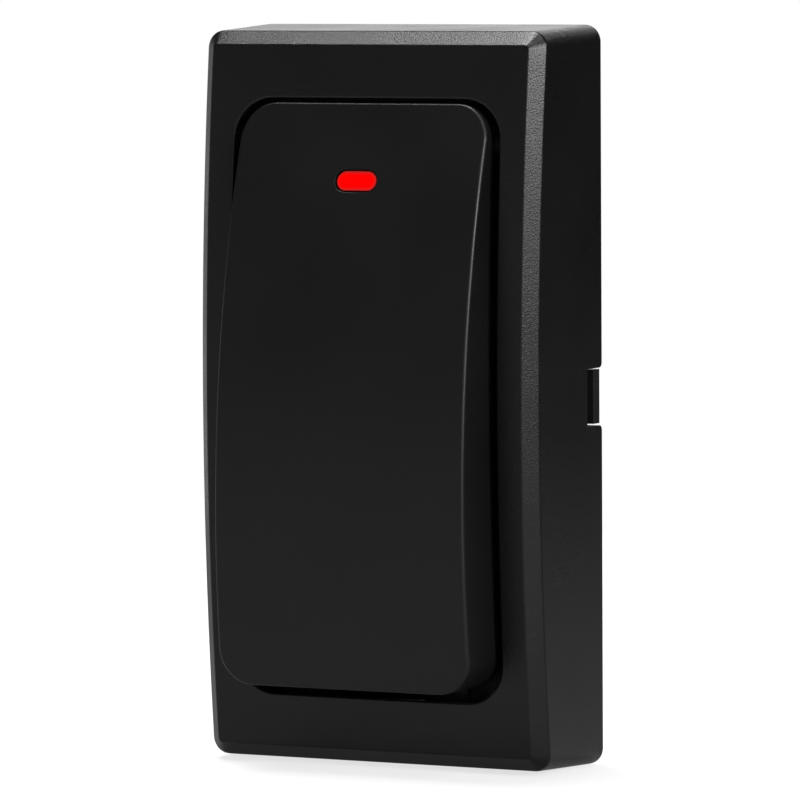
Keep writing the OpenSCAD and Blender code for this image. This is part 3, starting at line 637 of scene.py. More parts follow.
class Skin:
    """Points and faces of one piece, gathered before they become a mesh."""

    def __init__(self) -> None:
        """Start with nothing."""
        self.points: list[Point] = []
        self.faces: list[tuple[int, ...]] = []
        self.rounding: dict[frozenset[int], float] = {}

    def ring(self, flats: Iterable[Flat], depth: Depth) -> list[int]:
        """Add a ring of points on a surface.

        Args:
            flats: Width and height of each point.
            depth: Depth of the surface at a height.

        Returns:
            Indices of the points.
        """
        first = len(self.points)
        self.points.extend((x, h, depth(h)) for x, h in flats)
        return list(range(first, len(self.points)))

    def loop(self, points: Iterable[Point]) -> list[int]:
        """Add points.

        Args:
            points: Width, height and depth of each point.

        Returns:
            Indices of the points.
        """
        first = len(self.points)
        self.points.extend(points)
        return list(range(first, len(self.points)))

    def bridge(self, first: Sequence[int], second: Sequence[int], skip: Iterable[int] = ()) -> None:
        """Join two closed rings of the same count with four-sided faces.

        Args:
            first: Indices of one ring.
            second: Indices of the other ring.
            skip: Parts of the rings that stay open.
        """
        left_out = set(skip)
        count = len(first)
        for i in range(count):
            if i not in left_out:
                k = (i + 1) % count
                self.faces.append((first[i], first[k], second[k], second[i]))

    def stack(self, rings: Sequence[Sequence[int]], skip: Iterable[int] = ()) -> None:
        """Join each ring to the next one.

        Args:
            rings: Indices of the rings, in order.
            skip: Parts of the rings that stay open.
        """
        for first, second in zip(rings, rings[1:]):
            self.bridge(first, second, skip)

    def cap(self, *rings: Sequence[int]) -> None:
        """Close each ring with one face."""
        self.faces.extend(tuple(ring) for ring in rings)

    def lathe(self, steps: Iterable[Flat], parts: int, middle: Flat = (0.0, 0.0)) -> None:
        """Add a closed round body about a line that runs from back to front.

        Args:
            steps: Radius and depth of each ring.
            parts: Parts of each ring.
            middle: Width and height of the line.
        """
        rings = [
            self.loop((middle[0] + x, middle[1] + h, depth) for x, h in circle(radius, parts))
            for radius, depth in steps
        ]
        self.stack(rings)
        self.cap(rings[0], rings[-1])

    def soften(self, ring: Sequence[int], radius: float, closed: bool = True) -> None:
        """Mark the edges between neighbouring points to be rounded.

        Args:
            ring: Indices of the points, in order.
            radius: Width of the rounding at each side of the edge.
            closed: Whether the last point joins the first.
        """
        pairs = list(zip(ring, ring[1:])) + ([(ring[-1], ring[0])] if closed else [])
        self.rounding.update({frozenset(pair): radius for pair in pairs})

    def prism(self, profile: Sequence[Point], along: Point) -> None:
        """Add a closed prism.

        Args:
            profile: Corners of one end.
            along: Way from that end to the other.
        """
        near = self.loop(profile)
        far = self.loop(tuple(p + a for p, a in zip(point, along)) for point in profile)
        self.bridge(near, far)
        self.cap(near, far)

    def block(self, low: Point, high: Point) -> None:
        """Add a closed block between two corners."""
        corners = [(low[0], low[1]), (high[0], low[1]), (high[0], high[1]), (low[0], high[1])]
        self.prism([(x, h, low[2]) for x, h in corners], (0, 0, high[2] - low[2]))

    def to_object(self, name: str) -> bpy.types.Object:
        """Turn the skin into an object with outward faces and rounded edges.

        Args:
            name: Name of the object.

        Returns:
            The object, linked to the scene.
        """
        mesh = bpy.data.meshes.new(name)
        mesh.from_pydata([place(*point) for point in self.points], [], self.faces)
        widest = max(self.rounding.values(), default=0.0)
        build = bmesh.new()
        build.from_mesh(mesh)
        weights = build.edges.layers.float.new("bevel_weight_edge")
        for edge in build.edges:
            radius = self.rounding.get(frozenset(v.index for v in edge.verts))
            if radius:
                edge[weights] = radius / widest
        bmesh.ops.recalc_face_normals(build, faces=build.faces)
        build.to_mesh(mesh)
        build.free()
        piece = link(name, mesh)
        if widest:
            bevel = piece.modifiers.new("rounded edges", "BEVEL")
            bevel.limit_method = "WEIGHT"
            bevel.width = widest * MM
            bevel.segments = EDGE_PARTS
            bevel.use_clamp_overlap = False
            bevel.harden_normals = True
        return piece


def link(name: str, mesh: bpy.types.Mesh) -> bpy.types.Object:
    """Put a mesh into the scene, smooth but for its sharp edges.

    Args:
        name: Name of the object.
        mesh: Its mesh.

    Returns:
        The new object.
    """
    mesh.shade_smooth()
    mesh.set_sharp_from_angle(angle=SHARP_ANGLE)
    piece = bpy.data.objects.new(name, mesh)
    bpy.context.scene.collection.objects.link(piece)
    return piece


def circle(radius: float, count: int) -> list[Flat]:
    """Points of a circle about the middle."""
    turns = [2 * math.pi * i / count for i in range(count)]
    return [(radius * math.cos(t), radius * math.sin(t)) for t in turns]


class Workshop:
    """Keeps the built materials and hands out dressed pieces."""

    def __init__(self, frame: dict[str, object]) -> None:
        """Start with the loaded frame and no materials."""
        self.nodes: dict[str, bpy.types.Object] = frame["nodes"]
        self.materials: dict[str, bpy.types.Material] = {}

    def material(self, finish: Finish) -> bpy.types.Material:
        """Give the material of a finish, built on first use.

        Args:
            finish: The finish.

        Returns:
            Its material.
        """
        if finish.name not in self.materials:
            self.materials[finish.name] = finish.build()
        return self.materials[finish.name]

    def mount(self, piece: bpy.types.Object, body: Body, finish: Finish, node: str) -> None:
        """Dress a new piece that is still bare, and tie it to the frame.

        Args:
            piece: The new piece.
            body: Body that it rides on.
            finish: Its finish, which also names its slot.
            node: CAD node that it stands for.
        """
        if not piece.data.materials:
            piece.data.materials.append(self.material(finish))
        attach(piece, body.value)
        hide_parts(node)
        LOG.info("%s rides on %s, %d faces", piece.name, body.value, len(piece.data.polygons))

    def keep(self, node: str, finish: Finish) -> None:
        """Give a CAD node that stays as it is a better material.

        Args:
            node: The CAD node.
            finish: Its finish.
        """
        shape = self.nodes[node]
        for holder in shape.material_slots:
            holder.material = self.material(finish)
        if not shape.material_slots:
            shape.data.materials.append(self.material(finish))
        LOG.info("%s keeps its shape, in %s", node, finish.name)

    def copy_of(self, node: str, name: str, planes: bool) -> bpy.types.Object:
        """Copy a CAD node into a new piece, with its loose triangles joined.

        Args:
            node: CAD node to copy.
            name: Name of the copy.
            planes: Whether triangles in one plane become one face.

        Returns:
            The copy, not dressed yet.
        """
        mesh = self.nodes[node].data.copy()
        mesh.materials.clear()
        build = bmesh.new()
        build.from_mesh(mesh)
        bmesh.ops.remove_doubles(build, verts=build.verts, dist=MERGE_DISTANCE)
        if planes:
            bmesh.ops.dissolve_limit(
                build, angle_limit=PLANE_ANGLE, verts=build.verts, edges=build.edges
            )
        build.to_mesh(mesh)
        build.free()
        return link(name, mesh)

    def spring(self, node: str, name: str, finish: Finish) -> None:
        """Stand a copy of a sprung CAD node in its place, with a mesh of its own.

        Args:
            node: CAD node that the copy stands for.
            name: Name of the copy.
            finish: Its finish.
        """
        piece = self.copy_of(node, name, False)
        self.mount(piece, Body.FRONT_UNIT, finish, node)
        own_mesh(piece)


# Black ABS from a spark-eroded mould: an even grain that only shows where light rakes over it. The
# real grain is some hundredths of a millimetre wide, so here it is drawn as coarse as it needs to show.
HOUSING_ABS = MouldedPlastic(
    "black spark-eroded ABS",
    Slot.HOUSING,
    "#0a0a0a",
    "#0d0d0d",
    roughness=0.3,
    grain_mm=0.2,
    grain_depth_mm=0.032,
    specular=0.22,
)
# Black ABS from a finely polished mould: a smooth satin face with a broad sheen. Its grain is drawn
# coarser than the real one too, and so are those of the plastics below.
BUTTON_ABS = MouldedPlastic(
    "black satin ABS",
    Slot.BUTTON,
    "#090909",
    "#0c0c0c",
    roughness=0.4,
    grain_mm=0.4,
    grain_depth_mm=0.006,
    specular=0.22,
)
# Black ABS from a plain machined mould: duller than the parts that show.
PLATE_ABS = MouldedPlastic(
    "black plain ABS",
    Slot.PLATE,
    "#0a0a0a",
    "#0e0e0e",
    roughness=0.45,
    grain_mm=0.45,
    grain_depth_mm=0.012,
    specular=0.22,
)
# Black ABS of the inner mouldings: plain and dull.
FRAME_ABS = MouldedPlastic(
    "black dull ABS",
    Slot.FRAME,
    "#0c0c0c",
    "#111111",
    roughness=0.6,
    grain_mm=0.5,
    grain_depth_mm=0.01,
    specular=0.22,
)
# Black nitrile rubber: dull and finely blooming.
SEAL_RUBBER = MouldedPlastic(
    "black nitrile rubber",
    Slot.SEAL,
    "#141414",
    "#1c1c1c",
    roughness=0.75,
    grain_mm=0.35,
    grain_depth_mm=0.01,
    ior=1.52,
)
# Black glass-filled nylon: speckled by the fibres near its surface.
PART_NYLON = MouldedPlastic(
    "black glass-filled nylon",
    Slot.NYLON,
    "#181819",
    "#26262a",
    roughness=0.5,
    grain_mm=0.2,
    grain_depth_mm=0.01,
    gloss_spread=0.05,
    drift_mm=0.8,
)
# Moulded epoxy of chips: nearly black and finely pitted.
CHIP_EPOXY = MouldedPlastic(
    "moulded epoxy",
    Slot.CHIP,
    "#161618",
    "#1e1e21",
    roughness=0.6,
    grain_mm=0.15,
    grain_depth_mm=0.012,
    ior=1.55,
    gloss_spread=0.05,
    drift_mm=1.0,
)
# Fired barium titanate: a pale tan, dense and slightly glossy ceramic.
CHIP_CERAMIC = MouldedPlastic(
    "fired tan ceramic",
    Slot.CERAMIC,
    "#a88a60",
    "#bd9f74",
    roughness=0.4,
    grain_mm=0.12,
    grain_depth_mm=0.004,
    ior=1.7,
    gloss_spread=0.05,
    drift_mm=0.6,
)
# Tinted epoxy of the lamp, clear and smooth.
LAMP_EPOXY = MouldedPlastic(
    "red tinted epoxy",
    Slot.LAMP,
    "#d81c14",
    "#e82a20",
    roughness=0.15,
    grain_mm=0.6,
    grain_depth_mm=0.001,
    ior=1.52,
)
# Zinc-plated steel with a bright, slightly blue, tumbled surface.
ZINC_STEEL = WorkedMetal(
    "zinc-plated steel",
    Slot.ZINC,
    "#b4b6ba",
    "#cdd0d4",
    roughness=0.32,
    line_mm=0.2,
    line_stretch=2.0,
)
# Hard-drawn spring steel, darker and finely lined along its length.
SPRING_STEEL = WorkedMetal("drawn spring steel", Slot.SPRING, "#98989a", "#b4b4b6", roughness=0.28)
# Tinned steel sheet: bright, with soft rolling lines.
TIN_PLATE = WorkedMetal(
    "tinned sheet",
    Slot.TIN,
    "#bcbcbc",
    "#d4d4d2",
    roughness=0.3,
    line_mm=0.15,
    line_stretch=20.0,
)
# Nickel-plated steel of a coin cell, with a fine satin finish.
CELL_STEEL = WorkedMetal(
    "nickel-plated steel",
    Slot.CELL,
    "#bdb9b2",
    "#cfcbc4",
    roughness=0.3,
    line_mm=0.1,
    line_stretch=6.0,
)
# Rolled phosphor bronze, warm and finely lined.
BRONZE = WorkedMetal(
    "rolled phosphor bronze",
    Slot.BRONZE,
    "#c09a58",
    "#d8b270",
    roughness=0.3,
    line_stretch=15.0,
)
# Enamelled copper wire: a warm metal under a clear lacquer.
COPPER = WorkedMetal(
    "enamelled copper",
    Slot.COPPER,
    "#a8582c",
    "#c06c38",
    roughness=0.25,
    line_mm=0.2,
    line_stretch=4.0,
)
# Drawn aluminium can, pale with fine rings.
CAN_ALUMINIUM = WorkedMetal(
    "drawn aluminium",
    Slot.CAN,
    "#c2c4c6",
    "#d6d8da",
    roughness=0.33,
    line_mm=0.1,
    line_stretch=3.0,
)
# Green solder mask, glossy, with paler lines where tracks run.
BOARD_MASK = SolderMask("green solder mask", Slot.BOARD, "#17482c", "#236a40")


@dataclass
class Housing:
    """Bowed and bevelled cover with the opening for the button."""

    rim_w: float = 47.9
    rim_h: float = 91.4
    front_d: float = 18.05
    bow_sag: float = 2.6
    draft: float = 2.46
    rim_corner_r: float = 2.1
    bevel_w: float = 1.6
    bevel_d: float = 1.8
    face_corner_r: float = 0.5
    wall: float = 1.9
    front_wall: float = 2.0
    cavity_r: float = 1.2
    border_side: float = 3.5
    border_end: float = 6.6
    opening_r: float = 5.0
    opening_relief: float = 0.22
    notch_h: float = 7.1
    notch_d: float = 3.8
    notch_lip: float = 0.75
    frame_front: float = 11.0
    boss_r: float = 2.3
    boss_inset: float = 4.85
    pilot_r: float = 1.0
    pilot_depth: float = 3.2
    hinge_drop: float = 5.3
    hinge_d: float = 13.3
    ear_h: float = 6.0
    ear_mouth: float = 1.9
    bore_r: float = 1.25
    embed: float = 0.4
    notch_edge: float = 0.12
    rim_edge: float = 0.1
    shoulder_edge: float = 0.22
    face_edge: float = 0.18
    mouth_edge: float = 0.4
    side_parts: tuple[int, ...] = (26, 6, 26)
    end_parts: int = 24
    corner_parts: int = 10
    bore_parts: int = 24
    lip_steps: tuple[float, ...] = (0.29, 0.6, 1.0)

    def __post_init__(self) -> None:
        """Work out the sizes at the bevel, the face, the inside and the opening."""
        self.lean = math.tan(math.radians(self.draft))
        self.edge_d = self.front_d - self.bevel_d
        self.body_w = self.rim_w - 2 * self.edge_d * self.lean
        self.body_h = self.rim_h - 2 * self.edge_d * self.lean
        self.shoulder_r = self.face_corner_r + self.bevel_w
        self.face_w = self.body_w - 2 * self.bevel_w
        self.face_h = self.body_h - 2 * self.bevel_w
        self.bow_r = ((self.body_h / 2) ** 2 + self.bow_sag**2) / (2 * self.bow_sag)
        self.cavity_w = self.body_w - 2 * self.wall
        self.cavity_h = self.body_h - 2 * self.wall
        self.opening_w = self.face_w - 2 * self.border_side
        self.opening_h = self.face_h - 2 * self.border_end
        self.hinge_h = self.opening_h / 2 - self.hinge_drop
        self.boss_x = self.cavity_w / 2 - self.boss_inset
        self.boss_h = (self.opening_h + self.cavity_h) / 4

    def front_at(self, height: float) -> float:
        """Depth of the front face at a height."""
        return self.front_d - self.bow_r + math.sqrt(self.bow_r**2 - height**2)

    def inside_at(self, height: float) -> float:
        """Depth of the inside of the front wall at a height."""
        inner = self.bow_r - self.front_wall
        return self.front_d - self.bow_r + math.sqrt(inner**2 - height**2)

    def build(self, shop: Workshop) -> None:
        """Build the cover and put it in place.

        Args:
            shop: Workshop that dresses and mounts it.
        """
        skin = Skin()
        self._shell(skin)
        for x in (-1, 1):
            for h in (-1, 1):
                self._screw_boss(skin, x * self.boss_x, h * self.boss_h)
            self._bearing_ear(skin, x)
        piece = skin.to_object("housing_cover")
        shop.mount(piece, Body.FRONT_UNIT, HOUSING_ABS, "front_cover")

    def _division(self, half_notch: float) -> Division:
        """Share out a ring's points about notches of the given half height."""
        breaks = (-half_notch, half_notch)
        return Division(breaks, self.side_parts, self.end_parts, self.corner_parts)

    def _shell(self, skin: Skin) -> None:
        """Add the outer sides, bevel, face, opening and inside, with both notches left open.

        Args:
            skin: Skin that takes them.
        """
        half_notch = self.notch_h / 2
        share = self._division(half_notch)
        right = list(share.stretch_of(1))
        left = [share.left_start + share.sides - 1 - i for i in right]
        notch = right + left

        def flared(depth: float) -> Division:
            """Widen the notch by its round lips.

            Args:
                depth: Depth of the ring that is divided.

            Returns:
                How the ring's points are shared out there.
            """
            up = max(0.0, self.notch_lip - depth)
            edge_h = half_notch + self.notch_lip - math.sqrt(self.notch_lip**2 - up**2)
            return self._division(edge_h)

        def wall_ring(depth: float) -> list[int]:
            """Add a ring on the drafted outside.

            Args:
                depth: Depth of the ring.

            Returns:
                Indices of its points.
            """
            inset = depth * self.lean
            corner = self.rim_corner_r + (self.shoulder_r - self.rim_corner_r) * depth / self.edge_d
            outline = Outline(self.rim_w / 2 - inset, self.rim_h / 2 - inset, corner)
            return skin.ring(flared(depth).ring(outline), lambda _: depth)

        def cavity_ring(depth: float) -> list[int]:
            """Add a ring on the inside of the walls, at a depth."""
            return skin.ring(flared(depth).ring(cavity), lambda _: depth)

        face = Outline(self.face_w / 2, self.face_h / 2, self.face_corner_r)
        opening = Outline(self.opening_w / 2, self.opening_h / 2, self.opening_r)
        cavity = Outline(self.cavity_w / 2, self.cavity_h / 2, self.cavity_r)
        between = Outline(
            (face.half_w + opening.half_w) / 2,
            (face.half_h + opening.half_h) / 2,
            (face.radius + opening.radius) / 2,
        )
        depths = [0.0, *(self.notch_lip * step for step in self.lip_steps), self.notch_d]
        outer, inner = [wall_ring(d) for d in depths], [cavity_ring(d) for d in depths]
        tip, inner_tip = outer[-1], inner[-1]
        shoulder = skin.loop(self._shoulder_points(share))
        edge = skin.ring(share.ring(face), self.front_at)
        border = skin.ring(share.ring(between), self.front_at)
        mouth = skin.ring(share.ring(opening), self.front_at)
        throat = skin.ring(share.ring(opening.grown(self.opening_relief)), self.inside_at)
        ceiling = skin.ring(share.ring(cavity), self.inside_at)

        for rings in (outer, inner):
            skin.stack(rings, notch)
        skin.stack((tip, shoulder, edge, border, mouth, throat, ceiling, inner_tip))
        skin.bridge(inner[0], outer[0], notch)
        for part in notch:
            skin.faces.append((tip[part], tip[part + 1], inner_tip[part + 1], inner_tip[part]))
        for run in (sorted(right), sorted(left)):
            for end in (run[0], run[-1] + 1):
                walls = [(a[end], b[end]) for a, b in zip(outer, inner)]
                skin.faces.extend((a, c, d, b) for (a, b), (c, d) in zip(walls, walls[1:]))
            skin.soften([tip[i] for i in (*run, run[-1] + 1)], self.notch_edge, closed=False)

        for ring in (outer[0], inner[0]):
            for i in set(range(len(ring))).difference(notch):
                skin.soften([ring[i], ring[(i + 1) % len(ring)]], self.rim_edge, closed=False)
        skin.soften(shoulder, self.shoulder_edge)
        skin.soften(edge, self.face_edge)
        skin.soften(mouth, self.mouth_edge)

    def _shoulder_points(self, share: Division) -> list[Point]:
        """Find where the drafted sides meet the bevel, which runs at one depth below the face.

        Args:
            share: How the ring's points are shared out.

        Returns:
            Width, height and depth of each point.
        """
        outline = Outline(self.body_w / 2, self.body_h / 2, self.shoulder_r)
        points = []
        for x, h in share.ring(outline):
            depth = self.front_at(min(abs(h), self.face_h / 2)) - self.bevel_d
            grow = self.lean * (self.edge_d - depth)
            points.append((x * (1 + 2 * grow / self.body_w), h * (1 + 2 * grow / self.body_h), depth))
        return points

    def _screw_boss(self, skin: Skin, x: float, h: float) -> None:
        """Add a boss with a blind pilot hole, which stands behind the front wall.

        Args:
            skin: Skin that takes it.
            x: Width of its middle.
            h: Height of its middle.
        """
        steps = [
            (self.boss_r, self.inside_at(abs(h) + self.boss_r) + self.embed),
            (self.boss_r, self.frame_front),
            (self.pilot_r, self.frame_front),
            (self.pilot_r, self.frame_front + self.pilot_depth),
        ]
        skin.lathe(steps, ROUND_PARTS, (x, h))

    def _bearing_ear(self, skin: Skin, side: int) -> None:
        """Add the snap-in bearing of a hinge pin: a block with a round bore and a narrower mouth.

        Args:
            skin: Skin that takes it.
            side: 1 for the right side, -1 for the left.
        """
        half_mouth, half_ear = self.ear_mouth / 2, self.ear_h / 2
        start = math.asin(half_mouth / self.bore_r)
        bore = []
        for i in range(self.bore_parts + 1):
            turn = start + (2 * math.pi - 2 * start) * i / self.bore_parts
            rise, reach = self.bore_r * math.sin(turn), self.bore_r * math.cos(turn)
            bore.append((self.hinge_h + rise, self.hinge_d - reach))
        top = self.inside_at(self.hinge_h + half_ear) + self.embed
        profile = [
            (self.hinge_h - half_mouth, self.frame_front),
            (self.hinge_h - half_ear, self.frame_front),
            (self.hinge_h - half_ear, top),
            (self.hinge_h + half_ear, top),
            (self.hinge_h + half_ear, self.frame_front),
            (self.hinge_h + half_mouth, self.frame_front),
            *bore,
        ]
        inner, outer = side * self.opening_w / 2, side * (self.cavity_w / 2 + self.embed)
        skin.prism([(inner, h, d) for h, d in profile], (outer - inner, 0, 0))


@dataclass
class Rocker:
    """Tall button that rocks about its upper end, with its lit window."""

    housing: Housing
    gap_side: float = 0.85
    gap_top: float = 0.45
    gap_bottom: float = 1.6
    crown_rise: float = 6.8
    crown_h: float = -13.5
    face_r: float = 151.0
    corner_r: float = 4.5
    draft: float = 0.5
    taper: float = 0.4
    edge_r: float = 0.5
    end_edge: float = 0.5
    edge_parts: int = 5
    edge_hold: float = 0.06
    shell: float = 1.8
    skirt_reach: float = 1.8
    window_w: float = 5.85
    window_h: float = 2.8
    window_drop: float = 9.9
    window_margin: float = 1.9
    boss_r: float = 2.0
    pin_r: float = 1.2
    pin_gap: float = 0.3
    side_play: float = 0.15
    cheek_inset: float = 0.1
    lug_inset: float = 8.3
    lug_w: float = 6.0
    lug_t: float = 1.4
    lug_gap: float = 0.1
    lug_reach: float = 1.5
    lug_dip: float = 0.9
    lug_lip: float = 1.1
    post_r: float = 1.7
    post_lever: float = 10.5
    post_tip: float = 14.48
    cup_r: float = 3.3
    cup_wall: float = 1.0
    cup_depth: float = 2.5
    press_angle: float = 2.0
    stop_inset: float = 7.5
    stop_gap: float = 0.05
    stop_size: Flat = (4.0, 1.6)
    join: float = 0.5
    skirt_edge: float = 0.2
    window_edge: float = 0.05
    window_steps: tuple[float, ...] = (0.4, 0.75, 1.0)
    window_parts: int = 2
    side_parts: tuple[int, ...] = (44, 6, 4)
    end_parts: int = 14
    corner_parts: int = 12

    def __post_init__(self) -> None:
        """Work out the outline, the window's place, the stops and the lean of the sides."""
        home = self.housing
        self.half_w = home.opening_w / 2 - self.gap_side
        self.top = home.opening_h / 2 - self.gap_top
        self.bottom = self.gap_bottom - home.opening_h / 2
        self.mid_h = (self.top + self.bottom) / 2
        self.half_h = (self.top - self.bottom) / 2
        self.outline = Outline(self.half_w, self.half_h, self.corner_r, self.mid_h)
        self.crown_d = home.front_d + self.crown_rise
        self.skirt_d = home.front_at(self.bottom) - self.skirt_reach
        self.window_z = home.opening_h / 2 - self.window_drop
        self.lean = math.tan(math.radians(self.draft))
        self.post_h = home.hinge_h - self.post_lever
        self.lug_x = self.half_w - self.lug_inset
        self.lug_end = home.opening_h / 2 + self.lug_reach
        self.lug_top = home.inside_at(self.lug_end) - self.lug_gap
        self.stop_h = self.bottom + self.stop_inset
        swing = (home.hinge_h - self.stop_h) * math.sin(math.radians(self.press_angle))
        self.stop_tip = home.frame_front + swing + self.stop_gap

    def face_at(self, height: float) -> float:
        """Depth of the button's face at a height."""
        return self.crown_d - self.face_r + math.sqrt(self.face_r**2 - (height - self.crown_h) ** 2)

    def hollow_at(self, height: float) -> float:
        """Depth of the inside of the face at a height."""
        inner = self.face_r - self.shell
        return self.crown_d - self.face_r + math.sqrt(inner**2 - (height - self.crown_h) ** 2)

    def build(self, shop: Workshop) -> None:
        """Build the button and put it in place.

        Args:
            shop: Workshop that dresses and mounts it.
        """
        skin = Skin()
        self._shell(skin)
        self._fittings(skin)
        for side in (-1, 1):
            self._hinge_and_lug(skin, side)
        piece = skin.to_object("rocker")
        shop.mount(piece, Body.ROCKER, BUTTON_ABS, "rocker_button")

    def _shell(self, skin: Skin) -> None:
        """Add the drafted sides, the bowed face with its window, and the hollow behind it.

        Args:
            skin: Skin that takes them.
        """
        block = self.window_h / 2 + self.window_margin
        breaks = (self.window_z - block, self.window_z + block)
        share = Division(breaks, self.side_parts, self.end_parts, self.corner_parts)
        inner = share.ring(self.outline.grown(-self.shell))
        skirt = skin.ring(map(self._tapered, share.ring(self.outline)), lambda _: self.skirt_d)
        inner_skirt = skin.ring(inner, lambda _: self.skirt_d)
        ceiling = skin.ring(inner, self.hollow_at)
        edges = [skin.loop(self._edge_points(share, *step)) for step in self._edge_steps()]
        skin.stack((ceiling, inner_skirt, skirt, *edges))
        front_window = self._fill(skin, edges[-1], share, self.face_at)
        rear_window = self._fill(skin, ceiling, share, self.hollow_at)
        skin.bridge(front_window, rear_window)
        skin.soften(skirt, self.skirt_edge)
        skin.soften(front_window, self.window_edge)

    def _edge_steps(self) -> list[Flat]:
        """Divide the rounded edge.

        Returns:
            Way in from the side and down from the face at each step.
        """
        turns = [math.pi / 2 * i / self.edge_parts for i in range(self.edge_parts + 1)]
        arc = [(self.edge_r * (1 - math.cos(t)), self.edge_r * (1 - math.sin(t))) for t in turns]
        flat = self.edge_r + self.edge_hold
        return [(0.0, flat), *arc, (flat, 0.0)]

    def _tapered(self, flat: Flat) -> Flat:
        """Draw a point in towards the middle as the long sides close in, the more the higher it is.

        Args:
            flat: Width and height of the point.

        Returns:
            Its new width and height.
        """
        x, h = flat
        inset = self.taper * (h - self.bottom) / (self.top - self.bottom)
        return (x * (1 - inset / self.half_w), h)

    def _edge_points(self, share: Division, inset: float, drop: float) -> list[Point]:
        """Points of one step of the rounded edge, which is finer at both ends than along the sides.

        Args:
            share: How the ring's points are shared out.
            inset: Way in from the side.
            drop: Way down from the face.

        Returns:
            Width, height and depth of each point, drawn in by the draft and the taper of the sides.
        """
        straight_w, straight_h = self.half_w - self.corner_r, self.half_h - self.corner_r
        points = []
        for x, h in share.ring(self.outline):
            rise = h - self.mid_h
            out_x = max(0.0, abs(x) - straight_w) / self.corner_r
            out_h = max(0.0, abs(rise) - straight_h) / self.corner_r
            size = out_x**2 + self.end_edge * out_h**2
            lean = self.lean * (self.face_at(h) - drop * size - self.skirt_d)
            near_x = x - math.copysign(out_x * inset * size, x)
            near_rise = rise - math.copysign(out_h * inset * size, rise)
            near_h = self.mid_h + near_rise * (1 - lean / self.half_h)
            near_x, near_h = self._tapered((near_x * (1 - lean / self.half_w), near_h))
            points.append((near_x, near_h, self.face_at(near_h) - drop * size))
        return points

    def _fill(self, skin: Skin, ring: Sequence[int], share: Division, depth: Depth) -> list[int]:
        """Close a ring with a grid that leaves the window open.

        Args:
            skin: Skin that takes the grid.
            ring: Ring that it closes.
            share: How the ring's points are shared out.
            depth: Depth of the surface at a height.

        Returns:
            Indices of the window's edge.
        """
        first_left = share.sides + share.arcs + share.ends
        last_right = share.sides + share.arcs
        lower = share.lower_start
        right = [*ring[lower + share.ends :], *ring[: last_right + 1]]
        left = [ring[i] for i in range(lower, first_left - 1, -1)]
        rows = [[ring[i] for i in range(lower, lower + share.ends + 1)]]
        for start, end in zip(left[1:-1], right[1:-1]):
            (x0, h, _), (x1, _, _) = skin.points[start], skin.points[end]
            flats = [(x0 + (x1 - x0) * k / share.ends, h) for k in range(1, share.ends)]
            rows.append([start, *skin.ring(flats, depth), end])
        rows.append([ring[i] for i in range(first_left, last_right - 1, -1)])

        window = share.stretch_of(1)
        low, high = share.arcs + window.start, share.arcs + window.stop
        near, far = (share.ends // 2 + side * self.window_parts for side in (-1, 1))
        for j in range(len(rows) - 1):
            for k in range(share.ends):
                if not (low <= j < high and near <= k < far):
                    below, above = rows[j], rows[j + 1]
                    skin.faces.append((below[k], below[k + 1], above[k + 1], above[k]))
        block = [
            *(rows[low][k] for k in range(near, far)),
            *(rows[j][far] for j in range(low, high)),
            *(rows[high][k] for k in range(far, near, -1)),
            *(rows[j][near] for j in range(high, low, -1)),
        ]
        return self._window_edge(skin, block, depth)

    def _window_edge(self, skin: Skin, block: Sequence[int], depth: Depth) -> list[int]:
        """Lead the faces from an open block of the grid to the edge of the window.

        Args:
            skin: Skin that takes the faces.
            block: Ring round the open block.
            depth: Depth of the surface at a height.

        Returns:
            Indices of the window's edge.
        """
        corners = [skin.points[i] for i in block]
        half_w = max(x for x, _, _ in corners)
        half_h = max(h for _, h, _ in corners) - self.window_z
        edge = []
        for x, h, _ in corners:
            ray = (x / half_w * self.window_w, (h - self.window_z) / half_h * self.window_h)
            dx, dh = stadium_edge(self.window_w, self.window_h, ray)
            edge.append((dx, self.window_z + dh))
        before = list(block)
        for part in self.window_steps:
            flats = [
                (x + (ex - x) * part, h + (eh - h) * part) for (x, h, _), (ex, eh) in zip(corners, edge)
            ]
            ring = skin.ring(flats, depth)
            skin.bridge(before, ring)
            before = ring
        return before

    def _fittings(self, skin: Skin) -> None:
        """Add the post for the switch, the spring's cup and the press stops inside the face.

        Args:
            skin: Skin that takes them.
        """
        reach = self.hollow_at(self.post_h) + self.shell / 2
        post = [(x, self.post_h + h, self.post_tip) for x, h in circle(self.post_r, ROUND_PARTS)]
        skin.prism(post, (0, 0, reach - self.post_tip))
        floor = self.crown_d - self.shell
        cup = [
            (self.cup_r + self.cup_wall, self.crown_d - self.shell / 2),
            (self.cup_r + self.cup_wall, floor - self.cup_depth),
            (self.cup_r, floor - self.cup_depth),
            (self.cup_r, floor),
        ]
        skin.lathe(cup, ROUND_PARTS, (0.0, self.crown_h))
        half_w, half_h = self.stop_size[0] / 2, self.stop_size[1] / 2
        for side in (-1, 1):
            x = side * self.lug_x
            skin.block(
                (x - half_w, self.stop_h - half_h, self.stop_tip),
                (x + half_w, self.stop_h + half_h, self.hollow_at(self.stop_h) + self.shell / 2),
            )

